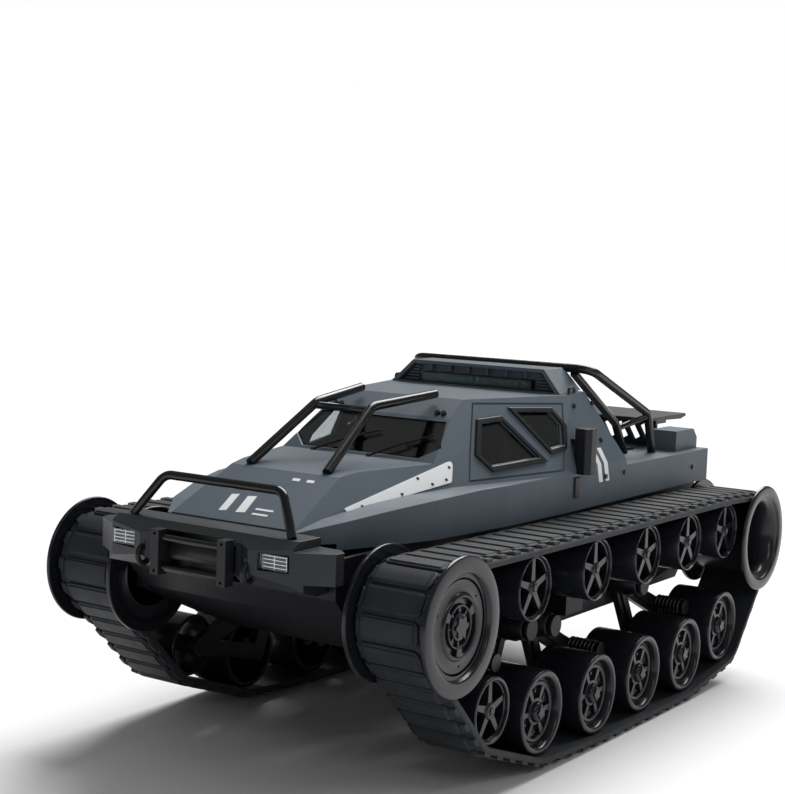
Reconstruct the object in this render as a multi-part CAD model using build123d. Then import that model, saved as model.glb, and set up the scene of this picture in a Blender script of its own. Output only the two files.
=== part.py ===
from build123d import *
import math
import os

# Tracked tank chassis, about 1/12 scale. Millimetres, +X forward, +Y to the vehicle's left, +Z up.
# The origin is on the ground under the middle of the overall length and width.

# ---------------------------------------------------------------- driving dimensions
LENGTH = 431.4
WHEELBASE = 346.5
CLEAR = 0.05                      # radial running clearance of every shaft
BELT_GAP = 0.3                    # wheel tread to belt
BELT_BASE = 3.0
LUG_HEIGHT = 2.0
BELT_IN, BELT_OUT = 70.1, 107.0   # belt edges, distance from the centre plane
LUG_PITCH = 12.5
LUG_LENGTH = 9.0
LUG_IN, LUG_OUT = 73.0, 103.5

REAR_FLANGE_R = 31.2
FRONT_FLANGE_R = 31.0
REAR_AXLE = (-LENGTH / 2 + REAR_FLANGE_R, 80.7)
FRONT_AXLE = (REAR_AXLE[0] + WHEELBASE, 86.4)
FRONT_TREAD_R = 21.2
REAR_TREAD_R = 22.2
FLANGE_IN, FLANGE_OUT = 67.6, 109.6
FLANGE_T = 2.0

DISC_R = 20.5
SMALL_R = 15.8
GROUND_WHEEL_Z = DISC_R + BELT_GAP + BELT_BASE + LUG_HEIGHT
# road wheels from front to rear: (x, z, radius, kind)
ROAD_WHEELS = [
    (122.8, 40.1, SMALL_R, "spoked"),
    (74.9, 28.9, DISC_R, "dished"),
    (16.2, GROUND_WHEEL_Z, DISC_R, "dished"),
    (-37.5, GROUND_WHEEL_Z, DISC_R, "dished"),
    (-92.4, GROUND_WHEEL_Z, DISC_R, "dished"),
    (-143.4, 33.2, DISC_R, "dished"),
]
ROLLER_X = [88.2, 24.2, -34.5, -88.1, -140.4]
ROLLER_TREAD_R = 15.8
TOP_RUN_DROP = 2.2                # fall of the belt's top run from the front drum to the last roller
WHEEL_IN, WHEEL_OUT = 74.0, 103.4
ROLLER_IN, ROLLER_OUT = 84.0, 104.0

STUB_R = 2.0
ROLLER_STUB_R = 1.7
DRUM_STUB_R = 4.0
PIVOT_R = 3.0
ARM_IN, ARM_OUT = 68.3, 72.3
PIVOT_BOSS_OUT = 85.0
# bogies from front to rear: pivot (x, z), the two road wheels carried, spring post (x, z)
BOGIES = [
    ("front", (60.0, 64.0), (0, 1), (98.8, 55.5)),
    ("middle", (35.2, 61.7), (2, 3), (-10.6, 41.0)),
    ("rear", (-67.4, 66.7), (4, 5), (-118.0, 46.5)),
]

BEAM_IN, BEAM_OUT = 60.5, 67.2    # side beams that carry every stub
TUB_HALF = 60.0
TUB_WALL = 2.5
TUB_FLOOR_Z = 52.0
BODY_FLOOR_Z = 112.6              # lower edge of the body shell
SKIN = 1.8                        # body shell thickness
DECK_Z = 131.5
BODY_REAR_X = -182.0
BODY_HALF = 72.5

SIDES = (("left", 1), ("right", -1))


# ---------------------------------------------------------------- helpers
def side_prism(outline, y_low, y_high):
    """Solid with a side view of outline (X, Z), between two Y planes."""
    face = make_face(Polyline(*[(x, y_low, z) for x, z in outline], close=True))
    return extrude(face, amount=y_high - y_low, dir=(0, 1, 0))


def plan_prism(outline, z_low, z_high):
    """Solid with a plan view of outline (X, Y), between two levels."""
    face = make_face(Polyline(*[(x, y, z_low) for x, y in outline], close=True))
    return extrude(face, amount=z_high - z_low, dir=(0, 0, 1))


def front_prism(outline, x_low, x_high):
    """Solid with a front view of outline (Y, Z), between two X planes."""
    face = make_face(Polyline(*[(x_low, y, z) for y, z in outline], close=True))
    return extrude(face, amount=x_high - x_low, dir=(1, 0, 0))


def block(x_range, y_range, z_range):
    """Box between two corners."""
    return plan_prism([(x_range[0], y_range[0]), (x_range[1], y_range[0]),
                       (x_range[1], y_range[1]), (x_range[0], y_range[1])], *z_range)


def rod_y(x, z, radius, y_low, y_high):
    """Cylinder along Y."""
    return Pos(x, (y_low + y_high) / 2, z) * Rot(90, 0, 0) * Cylinder(radius, y_high - y_low)


def rod_z(x, y, radius, z_low, z_high):
    """Upright cylinder."""
    return Pos(x, y, (z_low + z_high) / 2) * Cylinder(radius, z_high - z_low)


def turned(profile):
    """Solid of revolution about Y from a profile of (radius, y) points."""
    face = make_face(Polyline(*[(r, y, 0) for r, y in profile], close=True))
    return revolve(face, Axis.Y)


def tube(points, radius, bend):
    """Round bar bent through points with one bend radius."""
    path = FilletPolyline(*points, radius=bend)
    section = Plane(origin=path @ 0, z_dir=path % 0) * Circle(radius)
    return sweep(section, path=path)


def straight_bar(start, end, radius):
    """Round bar between two points."""
    path = Line(start, end)
    return sweep(Plane(origin=path @ 0, z_dir=path % 0) * Circle(radius), path=path)


def mirrored(shape):
    """Shape reflected to the other side of the vehicle."""
    return mirror(shape, about=Plane.XZ)


def both_sides(shapes):
    """Shapes and their reflections."""
    return list(shapes) + [mirrored(s) for s in shapes]


def for_side(shape, sign):
    """Left-hand shape, reflected when the sign is negative."""
    return shape if sign > 0 else mirrored(shape)


def solids_of(shapes):
    """Flat list of the solids in a list of shapes."""
    return [solid for shape in shapes for solid in shape.solids()]


def write_node(name, shapes):
    """Write one named sub-part, one or more solids."""
    solids = solids_of(shapes)
    whole = solids[0] if len(solids) == 1 else Compound(children=solids)
    export_step(whole, f"parts/{name}.step")


def tangent_loop(circles, grow=0.0):
    """Closed belt line in the XZ plane round circles (x, z, radius), taken counter-clockwise."""
    angles = []
    for (x1, z1, r1), (x2, z2, r2) in zip(circles, circles[1:] + circles[:1]):
        run = math.hypot(x2 - x1, z2 - z1)
        angles.append(math.atan2(z2 - z1, x2 - x1) - math.acos((r1 - r2) / run))
    edges = []
    for i, (x, z, r) in enumerate(circles):
        start, turn = angles[i - 1], (angles[i] - angles[i - 1]) % (2 * math.pi)
        radius = r + grow
        spots = [(x + radius * math.cos(a), 0, z + radius * math.sin(a))
                 for a in (start, start + turn / 2, start + turn)]
        edges.append(ThreePointArc(*spots))
        x2, z2, r2 = circles[(i + 1) % len(circles)]
        reach = r2 + grow
        landing = (x2 + reach * math.cos(angles[i]), 0, z2 + reach * math.sin(angles[i]))
        edges.append(Line(spots[2], landing))
    return edges


def loop_plate(circles, y_low, y_high, grow=0.0):
    """Plate whose outline is a belt line round circles."""
    face = make_face(tangent_loop(circles, grow)).moved(Location((0, y_low, 0)))
    return extrude(face, amount=y_high - y_low, dir=(0, 1, 0))


def link(start, end, radius, y_low, y_high):
    """Bar with round ends between two points of the side view."""
    return loop_plate([(*start, radius), (*end, radius)], y_low, y_high)


# ---------------------------------------------------------------- running gear layout
def roller_z(x):
    """Height of a return roller under the straight top run."""
    top_front = FRONT_AXLE[1] + FRONT_TREAD_R
    span = FRONT_AXLE[0] - ROLLER_X[-1]
    return top_front - TOP_RUN_DROP * (FRONT_AXLE[0] - x) / span - ROLLER_TREAD_R


def belt_circles():
    """Circles that the belt's inner face wraps, counter-clockwise from the front drum."""
    last = ROLLER_X[-1]
    wheels = [(*FRONT_AXLE, FRONT_TREAD_R), (last, roller_z(last), ROLLER_TREAD_R),
              (*REAR_AXLE, REAR_TREAD_R)]
    wheels += [(x, z, r) for x, z, r, _ in reversed(ROAD_WHEELS) if x != ROAD_WHEELS[3][0]]
    return [(x, z, r + BELT_GAP) for x, z, r in wheels]


def track():
    """Rubber belt with its tread lugs."""
    circles = belt_circles()
    outer = loop_plate(circles, BELT_IN, BELT_OUT, BELT_BASE)
    belt = outer - loop_plate(circles, BELT_IN - 1, BELT_OUT + 1)
    path = Wire(tangent_loop(circles, BELT_BASE))
    count = round(path.length / LUG_PITCH)
    embed = 1.0
    lug = extrude(Rectangle(LUG_LENGTH, LUG_OUT - LUG_IN), amount=LUG_HEIGHT + embed)
    lug = chamfer(lug.edges().filter_by(Axis.Z), 1.5)
    lugs = []
    for i in range(count):
        spot = path.position_at((i + 0.5) / count)
        heading = path.tangent_at((i + 0.5) / count)
        outward = Vector(heading.Z, 0, -heading.X)
        base = spot - outward * embed + Vector(0, (LUG_IN + LUG_OUT) / 2, 0)
        lugs.append(Plane(origin=base, x_dir=heading, z_dir=outward) * lug)
    below_ground = block((-LENGTH / 2, LENGTH / 2), (BELT_IN - 5, BELT_OUT + 5), (-5, 0))
    return belt.fuse(*lugs) - below_ground


# ---------------------------------------------------------------- wheels
def spokes(count, inner, outer, width, y_low, y_high):
    """Radial bars from a hub to a rim about the Y axis."""
    bar = block((-width / 2, width / 2), (y_low, y_high), (inner, outer))
    return [Rot(0, 360 * i / count, 0) * bar for i in range(count)]


def spoked_wheel(radius, y_in, y_out, stub_r, rim_t, hub_r):
    """Open wheel: thin wide rim, five spokes and a blind-bored hub."""
    bore = stub_r + CLEAR
    rim = turned([(radius - rim_t, y_in), (radius - 0.4, y_in), (radius, y_in + 0.4),
                  (radius, y_out - 0.6), (radius - 0.6, y_out), (radius - rim_t, y_out)])
    hub = turned([(bore, y_in + 2), (hub_r, y_in + 2), (hub_r, y_out - 1), (hub_r - 1, y_out),
                  (0, y_out), (0, y_out - 2), (bore, y_out - 2)])
    bars = spokes(5, hub_r - 0.6, radius - rim_t + 0.6, 2.8, y_out - 5, y_out - 1)
    return rim.fuse(hub, *bars)


def dished_wheel():
    """Closed road wheel: wide tyre barrel, dished web and a blind-bored hub."""
    bore = STUB_R + CLEAR
    y0, y1, r = WHEEL_IN, WHEEL_OUT, DISC_R
    return turned([
        (bore, y0 + 4), (bore, y1 - 4), (0, y1 - 4), (0, y1 - 2.2), (4.6, y1 - 2.2), (5.6, y1 - 3.2),
        (5.6, y1 - 7), (14.5, y1 - 5.5), (17.2, y1 - 0.6), (18.0, y1), (r - 0.8, y1), (r, y1 - 0.8),
        (r, y0 + 0.8), (r - 0.8, y0), (r - 3.0, y0), (r - 3.0, y1 - 9), (7.0, y1 - 11), (6.0, y0 + 4)])


def front_drum():
    """Front idler drum: inner flange, hollow barrel with its hub, and outer disc."""
    bore = DRUM_STUB_R + CLEAR
    y0, y1, rf, rt = FLANGE_IN, FLANGE_OUT, FRONT_FLANGE_R, FRONT_TREAD_R
    inner = y0 + FLANGE_T
    lip = y1 - FLANGE_T
    flange = turned([(18.0, y0), (rf, y0), (rf, inner), (18.0, inner)])
    barrel = turned([
        (bore, inner), (bore, y1 - 9), (0, y1 - 9), (0, y1 - 0.8), (4.4, y1 - 1.4), (9.0, y1 - 1.8),
        (13.4, y1 - 1.2), (15.0, y1 - 2.4), (19.2, y1 - 3.2), (19.6, lip), (rt, lip), (rt, inner),
        (18.0, inner), (17.0, y1 - 6), (8.0, y1 - 8), (7.0, inner)])
    disc = turned([
        (19.6, lip), (rf - 0.4, lip), (rf, lip + 0.4), (rf, y1 - 0.6), (rf - 0.6, y1), (24.0, y1),
        (23.0, y1 - 1.2), (19.6, y1 - 1.4)])
    return [flange, barrel, disc]


def drive_wheel():
    """Rear drive wheel: shaft into the gearbox, two flanges and a barrel with a deep open dish."""
    y0, y1, rf, rt = FLANGE_IN, FLANGE_OUT, REAR_FLANGE_R, REAR_TREAD_R
    shaft_end, inner, outer = 45.0, FLANGE_IN + FLANGE_T, FLANGE_OUT - FLANGE_T
    shaft = turned([(0, shaft_end), (DRUM_STUB_R, shaft_end), (DRUM_STUB_R, inner), (0, inner)])
    flange = turned([(19.4, y0), (rf, y0), (rf, inner), (19.4, inner)])
    barrel = turned([
        (0, inner), (7.0, inner), (8.0, y1 - 24), (19.0, y1 - 23), (19.4, inner), (rt, inner), (rt, outer),
        (20.0, outer), (18.6, y1 - 20), (8.4, y1 - 21), (6.6, y1 - 14), (0, y1 - 13)])
    rim = turned([
        (20.0, outer), (rf - 0.4, outer), (rf, outer + 0.4), (rf, y1 - 0.8), (rf - 0.8, y1), (24.0, y1),
        (21.0, outer + 0.6)])
    return [shaft, flange, barrel, rim]


# ---------------------------------------------------------------- suspension and frame
def bogie(pivot, axles, post):
    """Swing arm on its pivot boss, with two wheel stubs and a coil on its spring post."""
    boss_r, axle_r = 7.0, 5.0
    arm = link(pivot, axles[0], axle_r, ARM_IN, ARM_OUT)
    arm = arm.fuse(link(pivot, axles[1], axle_r, ARM_IN, ARM_OUT),
                   link(axles[0], axles[1], 4.0, ARM_IN, ARM_OUT),
                   link(pivot, post, 3.6, ARM_IN, ARM_OUT),
                   rod_y(*pivot, boss_r, ARM_IN, PIVOT_BOSS_OUT),
                   rod_y(*post, 2.4, ARM_OUT - 1, 90.5),
                   rod_y(*post, 4.4, 89.0, 91.0),
                   *[rod_y(*axle, STUB_R, ARM_OUT - 1, WHEEL_OUT - 4.6) for axle in axles])
    arm = arm - rod_y(*pivot, PIVOT_R + CLEAR, ARM_IN - 1, PIVOT_BOSS_OUT + 1)
    rings = []
    turns, wire_r, coil_r = 6, 1.05, 3.45
    for i in range(turns):
        rings.append((coil_r + wire_r, 75.0 + i * 2.2))
        rings.append((coil_r + 2 * wire_r, 76.1 + i * 2.2))
    top = 75.0 + turns * 2.2
    coil = turned([(coil_r - wire_r, 75.0)] + rings + [(coil_r + wire_r, top), (coil_r - wire_r, top)])
    return [arm, Pos(post[0], 0, post[1]) * coil]


def track_frame():
    """Left side beam, and on it every stub, pivot pin and boss of the running gear."""
    outline = [(-196, 70), (-198, 90), (-186, 101), (150, 106), (170, 100), (174, 80), (160, 74),
               (128, 60), (100, 53), (-96, 53), (-150, 62)]
    beam = side_prism(outline, BEAM_IN, BEAM_OUT)
    beam = beam - side_prism([(-57, 74), (-57, 84), (-17, 84), (-17, 74)], BEAM_IN - 1, BEAM_OUT + 1)
    beam = beam - rod_y(*REAR_AXLE, DRUM_STUB_R + CLEAR, BEAM_IN - 1, BEAM_OUT + 1)
    parts = [beam, block((-9, 10), (BEAM_OUT, 80), (61, 84)),
             rod_y(*FRONT_AXLE, DRUM_STUB_R, BEAM_OUT, FLANGE_OUT - 9.6)]
    for x in ROLLER_X:
        root_end = ROLLER_IN + 1.4
        parts.append(rod_y(x, roller_z(x), 4.0, BEAM_OUT, root_end))
        parts.append(rod_y(x, roller_z(x), ROLLER_STUB_R, root_end, ROLLER_OUT - 2.6))
    for _, pivot, _, _ in BOGIES:
        cap = PIVOT_BOSS_OUT + 0.4
        parts.append(rod_y(*pivot, PIVOT_R, BEAM_OUT, cap))
        parts.append(rod_y(*pivot, 5.6, cap, PIVOT_BOSS_OUT + 3))
    return parts


TUB_PROFILE = [(-192, 112), (-197, 98), (-196, 74), (-172, TUB_FLOOR_Z), (112, TUB_FLOOR_Z),
               (150, 70), (176, 82), (187, 94), (187, 112)]
BATTERY_BAY = ((-60, 40), (-26, 26))
SWITCH_SPOT = (70.0, 20.0)
SWITCH_SIZE = (5.0, 3.0)
SWITCH_TRAVEL = 4.0


def lower_tub():
    """Open-topped hull tub with a battery opening and a switch slot in its floor."""
    outer = make_face(Polyline(*[(x, 0, z) for x, z in TUB_PROFILE], close=True))
    inner = offset(outer, amount=-TUB_WALL, kind=Kind.INTERSECTION)
    shell = extrude(outer, amount=TUB_HALF, both=True, dir=(0, 1, 0))
    hollow = extrude(inner, amount=TUB_HALF - TUB_WALL, both=True, dir=(0, 1, 0))
    mouth = block((-189, 183), (-TUB_HALF + TUB_WALL, TUB_HALF - TUB_WALL), (105, 115))
    shell = shell - hollow - mouth
    (x0, x1), (y0, y1) = BATTERY_BAY
    shell = shell - block((x0, x1), (y0, y1), (TUB_FLOOR_Z - 1, TUB_FLOOR_Z + TUB_WALL + 1))
    sx, sy = SWITCH_SPOT
    long, wide = SWITCH_SIZE
    shell = shell - block((sx - long / 2 - 0.3, sx + long / 2 + SWITCH_TRAVEL + 0.3),
                          (sy - wide / 2 - 0.3, sy + wide / 2 + 0.3),
                          (TUB_FLOOR_Z - 1, TUB_FLOOR_Z + TUB_WALL + 1))
    for sign in (1, -1):
        shell = shell - rod_y(*REAR_AXLE, DRUM_STUB_R + 1, sign * TUB_HALF - 5, sign * TUB_HALF + 5)
    lugs = [block((x0 - 4, x0 - 0.4), (y - 2, y + 2), (TUB_FLOOR_Z - 4, TUB_FLOOR_Z + 1))
            for y in (-18, 18)]
    shell = shell.fuse(*lugs)
    return [shell - rod_y(x0 - 2.2, TUB_FLOOR_Z - 2.2, 1.0 + CLEAR, -21, 21)]


def battery_door():
    """Door in the belly on a hinge pin, with a finger catch at its free end."""
    (x0, x1), (y0, y1) = BATTERY_BAY
    panel = block((x0 + 0.4, x1 - 0.4), (y0 + 0.4, y1 - 0.4), (TUB_FLOOR_Z + 0.4, TUB_FLOOR_Z + 2.4))
    ribs = [block((x, x + 1.5), (y0 + 6, y1 - 6), (TUB_FLOOR_Z - 0.4, TUB_FLOOR_Z + 0.6))
            for x in range(-40, 30, 10)]
    leg = side_prism([(x0 - 3.4, TUB_FLOOR_Z - 3.4), (x0 - 1, TUB_FLOOR_Z - 3.4),
                      (x0 + 3, TUB_FLOOR_Z - 0.6), (x0 + 3, TUB_FLOOR_Z + 1.4),
                      (x0 + 0.6, TUB_FLOOR_Z + 1.4), (x0 + 0.6, TUB_FLOOR_Z - 0.8),
                      (x0 - 3.4, TUB_FLOOR_Z - 0.8)], -14, 14)
    pin = rod_y(x0 - 2.2, TUB_FLOOR_Z - 2.2, 1.0, -20.6, 20.6)
    return [panel.fuse(*ribs, leg, pin)]


def power_switch():
    """Slide switch knob in its slot."""
    x, y = SWITCH_SPOT
    long, wide = SWITCH_SIZE
    knob = block((x - long / 2, x + long / 2), (y - wide / 2, y + wide / 2),
                 (TUB_FLOOR_Z - 1.4, TUB_FLOOR_Z + TUB_WALL + 0.8))
    foot = block((x - long / 2 - 1, x + long / 2 + 1), (y - wide / 2 - 1, y + wide / 2 + 1),
                 (TUB_FLOOR_Z + TUB_WALL + 0.4, TUB_FLOOR_Z + TUB_WALL + 2))
    return [knob.fuse(foot)]


# ---------------------------------------------------------------- body shell
# Each side of the cab and hood is one leaning plane that runs from the roof to the nose.
ROOF_Z = 171.5
ROOF_CORNER = (47.9, 36.4)        # plan position of the roof's front corner on that plane
SIDE_TAPER = 0.265                # inward lean of the plane per mm forward
SIDE_LEAN = 0.71                  # inward lean of the plane per mm up
REAR_HALF, REAR_LEAN = 57.2, 0.42

CAB_PROFILE = [(-70.6, DECK_Z), (-45.0, 172.2), (-24.0, 171.2), (47.9, ROOF_Z), (63.0, 162.9),
               (88.3, 143.5), (136.0, 142.6), (147.0, 141.0), (185.6, 121.5), (187.4, 115.6),
               (187.4, BODY_FLOOR_Z), (-70.6, BODY_FLOOR_Z)]
FENDER_PLAN = [(BODY_REAR_X, BODY_HALF), (5.6, BODY_HALF), (60.0, 71.0), (115.0, 66.0), (139.0, 60.0),
               (167.5, 50.0), (185.6, 37.9)]
FENDER_TOP = [(BODY_REAR_X, DECK_Z), (-70.6, DECK_Z), (5.6, 133.0), (83.0, 132.6), (115.0, 131.2),
              (139.0, 129.0), (167.5, 125.0), (185.6, 121.0)]


def rear_limit(z):
    """Half width of the side plane behind the doors."""
    return REAR_HALF + REAR_LEAN * (ROOF_Z - z)


def leaning_planes(inset=0.0):
    """The four outer planes of the cab's sides, moved in by the inset, with normals pointing out."""
    planes = []
    for sign in (1, -1):
        for spot, normal in (((ROOF_CORNER[0], ROOF_CORNER[1], ROOF_Z), (SIDE_TAPER, 1, SIDE_LEAN)),
                             ((0, REAR_HALF, ROOF_Z), (0, 1, REAR_LEAN))):
            out = Vector(normal[0], sign * normal[1], normal[2]).normalized()
            planes.append(Plane(origin=Vector(spot[0], sign * spot[1], spot[2]) - out * inset, z_dir=out))
    return planes


def trimmed(solid, planes):
    """Solid cut back to the inner side of every plane."""
    for plane in planes:
        solid = split(solid, bisect_by=plane, keep=Keep.BOTTOM)
    return solid


def cab_wedge(inset=0.0):
    """Space between the leaning planes."""
    return trimmed(block((-210, 190), (-130, 130), (100, 190)), leaning_planes(inset))


def inset_prism(outline, inset, half):
    """Side-view prism whose outline is moved in by the inset."""
    face = make_face(Polyline(*[(x, 0, z) for x, z in outline], close=True))
    if inset:
        face = offset(face, amount=-inset, kind=Kind.INTERSECTION)
    return extrude(face, amount=half, both=True, dir=(0, 1, 0))


def body_form(inset):
    """Outer form of cab, hood and fenders, moved in by the inset."""
    cab = inset_prism(CAB_PROFILE, inset, 90)
    cab = trimmed(cab, leaning_planes(inset))
    plan = FENDER_PLAN + [(x, -y) for x, y in reversed(FENDER_PLAN)]
    plan_face = make_face(Polyline(*[(x, y, 100) for x, y in plan], close=True))
    if inset:
        plan_face = offset(plan_face, amount=-inset, kind=Kind.INTERSECTION)
    footprint = extrude(plan_face, amount=100, dir=(0, 0, 1))
    profile = FENDER_TOP + [(185.6, BODY_FLOOR_Z), (BODY_REAR_X, BODY_FLOOR_Z)]
    return (cab & footprint).fuse(footprint & inset_prism(profile, inset, 90))


def rear_boxes():
    """Boxes on the deck's rear corners."""
    return both_sides([side_prism([(-149, DECK_Z - 1), (-149, 143.4), (-174, 143.4), (-179.5, 138),
                                   (-179.5, DECK_Z - 1)], 50, 66)])


def off_body(shape):
    """Shape cut back to the outside of the body shell."""
    return shape - BODY


BODY = body_form(0).fuse(*rear_boxes())
WINDSHIELD = [(-35.0, 144.8), (35.0, 144.8), (43.6, 149.9), (37.6, 161.4), (-37.6, 161.4), (-43.6, 149.9)]
FRONT_PANE = [(45.4, 159.7), (31.0, 160.5), (19.3, 142.7), (53.3, 140.6), (57.0, 145.7)]
REAR_PANE = [(17.5, 164.3), (-6.6, 163.4), (-9.4, 157.0), (-2.4, 147.6), (7.8, 146.2)]
DOOR = [(43.0, 169.4), (-19.0, 167.0), (4.8, 135.4), (72.0, 134.4), (62.0, 147.0)]
DECK_HATCH = ((-140.0, -84.0), 44.0)


def grown(outline, amount):
    """Outline in the side view moved out by an amount, as a face on the plane Y = 0."""
    face = make_face(Polyline(*[(x, 0, z) for x, z in outline], close=True))
    return offset(face, amount=amount, kind=Kind.INTERSECTION)


def side_cutter(outline, amount, half=90):
    """Prism through both sides of the cab."""
    return extrude(grown(outline, amount), amount=half, both=True, dir=(0, 1, 0))


def side_skin(low, high):
    """Thin layer that follows the cab's side planes between two depths below the surface."""
    return cab_wedge(low) - cab_wedge(high)


def upper_shell():
    """Hollow body shell with its window openings, deck hatch and rear boxes."""
    shell = body_form(0) - body_form(SKIN)
    shell = shell - block((BODY_REAR_X + SKIN, 183), (-48, 48), (BODY_FLOOR_Z - 1, BODY_FLOOR_Z + SKIN + 1))
    shell = shell - front_prism(WINDSHIELD, 50, 100)
    for pane in (FRONT_PANE, REAR_PANE):
        shell = shell - side_cutter(pane, 0)
    (x0, x1), half = DECK_HATCH
    shell = shell - block((x0, x1), (-half, half), (DECK_Z - SKIN - 1, DECK_Z + 3))
    seam = (side_cutter(DOOR, 0.5) - side_cutter(DOOR, -0.5)) & side_skin(-0.2, 0.7)
    shell = shell - seam
    return [shell.fuse(*rear_boxes())]


def window_glass():
    """Windshield and four door panes, set in their openings."""
    play = 0.15
    front = front_prism([(y * 0.995, z + (play if z < 150 else -play)) for y, z in WINDSHIELD], 50, 100)
    screen = inset_prism(CAB_PROFILE, 0.5, 90) - inset_prism(CAB_PROFILE, 1.5, 90)
    panes = [trimmed(front & screen, leaning_planes(0.3))]
    for pane in (FRONT_PANE, REAR_PANE):
        panes.append(side_cutter(pane, -play) & side_skin(0.5, 1.4))
    return panes


def door_frames():
    """Raised black surrounds of the door panes."""
    frames = []
    for pane, edge in ((FRONT_PANE, 2.6), (REAR_PANE, 2.4)):
        ring = side_cutter(pane, edge) - side_cutter(pane, 0.2)
        frames.append(ring & side_skin(-1.3, -0.05))
    return frames[:1] + [frames[1] - side_cutter(FRONT_PANE, 2.8)]


def cockpit():
    """Floor tray, and on it the dash with its steering wheel and two seats."""
    floor_z = 120
    tray = block((-52, 92), (-34, 34), (floor_z - 2, floor_z))
    dash = side_prism([(60, floor_z), (60, 133), (72, 141), (88, 139), (90, floor_z)], -33, 33)
    cushion = side_prism([(-10, floor_z), (-14, 131), (16, 129), (18, floor_z)], 6, 28)
    back = side_prism([(-14, 131), (-24, 152), (-18, 154), (-5, 130.4)], 6, 28)
    head = side_prism([(-24, 152), (-25.5, 162), (-18, 162), (-18, 154)], 11, 23)
    lean = Plane(origin=(46, 17, 141), z_dir=(-18, 0, 7))
    column = straight_bar((64, 17, 134), (46, 17, 141), 1.3)
    wheel = (lean * Torus(8.0, 1.1)).fuse(lean * Box(2.4, 16, 1.6), column)
    return [tray, dash, wheel - dash] + both_sides([cushion, back, head])


POD_FRONT_X, POD_REAR_X = -24.0, -49.0
POD_TOP_Z = 184.0


def roof_pod():
    """Raised pod on the roof with a recess across its front face."""
    outline = [(POD_FRONT_X + 1, ROOF_Z - 0.5), (POD_FRONT_X - 2, POD_TOP_Z), (POD_REAR_X + 2, POD_TOP_Z),
               (POD_REAR_X, 181.0), (POD_REAR_X, 172.3), (-45.0, 172.3), (-24.0, 171.3)]
    pod = side_prism(outline, -70, 70)
    lean = (55.1 - 41.8) / (POD_TOP_Z - 170.0)
    pod = trimmed(pod, [Plane(origin=(0, sign * 55.1, 170.0), z_dir=Vector(0, sign, lean).normalized())
                        for sign in (1, -1)])
    recess = front_prism([(-50, 171.9), (50, 171.9), (40.6, 182.0), (-40.6, 182.0)],
                         POD_FRONT_X - 5.5, POD_FRONT_X + 5)
    pod = pod - recess
    slats = []
    for i in range(5):
        z = 173.0 + 1.7 * i
        reach = 49.0 - lean * (z - 171.0)
        slats.append(block((POD_FRONT_X - 6, POD_FRONT_X - 2.6), (37.4, reach), (z, z + 0.8)))
    ribs = [block((POD_FRONT_X - 6, POD_FRONT_X - 3.0), (y - 0.7, y + 0.7), (178.4, 182.5))
            for y in (-30, -18, -6, 6, 18, 30)]
    return [off_body(pod.fuse(*both_sides(slats), *ribs))]


def light_bar():
    """Lamp bar in the pod's recess."""
    body = block((POD_FRONT_X - 5.2, POD_FRONT_X - 0.6), (-35.1, 35.1), (172.2, 177.6))
    body = chamfer(body.edges().filter_by(Axis.Y).group_by(Axis.X)[-1], 0.8)
    return [body]


def windshield_guard():
    """Bent tube pair over the windshield with a cross tube."""
    r = 2.3
    rail = tube([(144.4, 22.7, 142.0), (99.4, 16.5, 169.6), (52.4, 22.7, 173.6)], r, 12)
    cross = rod_y(100.4, 167.6, 1.8, -16.6, 16.6)
    return [off_body(rail.fuse(mirrored(rail), cross))]


def roll_cage():
    """Hoop of bent tube over the pod's rear edge and down to the deck, with an inner tube a side."""
    r, half, bend = 2.4, 57.5, 8
    side = [(-134.0, half, DECK_Z - 0.5), (-126.0, half, 155.0), (-50.8, half, 183.8)]
    hoop = tube(side + [(x, -y, z) for x, y, z in reversed(side)], r, bend)
    inner = tube([(-50.6, 47.5, 181.0), (-104.5, 47.7, 149.6), (-117.5, 47.7, DECK_Z - 0.5)], r, bend)
    brace = straight_bar((-124.0, half, 153.0), (-107.0, 47.7, 146.8), 1.8)
    side = inner.fuse(brace)
    return [off_body(hoop.fuse(side, mirrored(side))) - roof_pod()[0]]


# ---------------------------------------------------------------- front end
def bumper():
    """Faceted bumper with a window for the winch."""
    half = [(187.6, 0), (187.6, 63), (192, 67.4), (198.0, 67.4), (208.2, 51.5), (212.0, 31.0),
            (209.4, 25.0), (209.4, 0)]
    plan = half + [(x, -y) for x, y in reversed(half[1:-1])]
    body = plan_prism(plan, 90, 125)
    body = body & side_prism([(180, 117.4), (188.2, 121.2), (203.6, 121.2), (212.4, 115.8), (212.4, 106.0),
                              (205.0, 99.4), (196.0, 97.0), (180, 97.0)], -70, 70)
    corner = plan_prism([(184, 52), (184, 80), (199, 80), (211, 52)], 117.0, 125)
    corner = corner.fuse(plan_prism([(184, 56), (184, 80), (196, 80), (206, 56)], 90, 103))
    body = body - corner - mirrored(corner)
    body = body - block((196.5, 215), (-22, 22), (99.5, 118.2))
    seat = block((206.0, 214), (35.4, 50.4), (107.9, 115.5))
    return [body - seat - mirrored(seat)]


def winch_frame():
    """Roller fairlead frame with a rope drum behind it."""
    post = block((209.8, 215.7), (16.8, 21.6), (98.6, 119.0))
    arm = block((199.0, 209.8), (18.0, 20.6), (104.0, 113.6))
    plate = block((196.6, 199.0), (-21.9, 21.9), (99.6, 118.0))
    drum = rod_y(203.6, 108.6, 4.4, -18.0, 18.0)
    rails = [rod_y(212.9, z, 1.5, -16.8, 16.8) for z in (102.0, 115.4)]
    return both_sides([post, arm]) + [plate, drum] + rails


def bull_bar():
    """Hoop of bent tube on the bumper."""
    foot, top = (200.5, 46.0, 121.0), (192.4, 34.0, 139.8)
    hoop = tube([(x, -y, z) for x, y, z in (foot, top)] + [top, foot], 2.1, 7)
    return [hoop - bumper()[0]]


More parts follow.
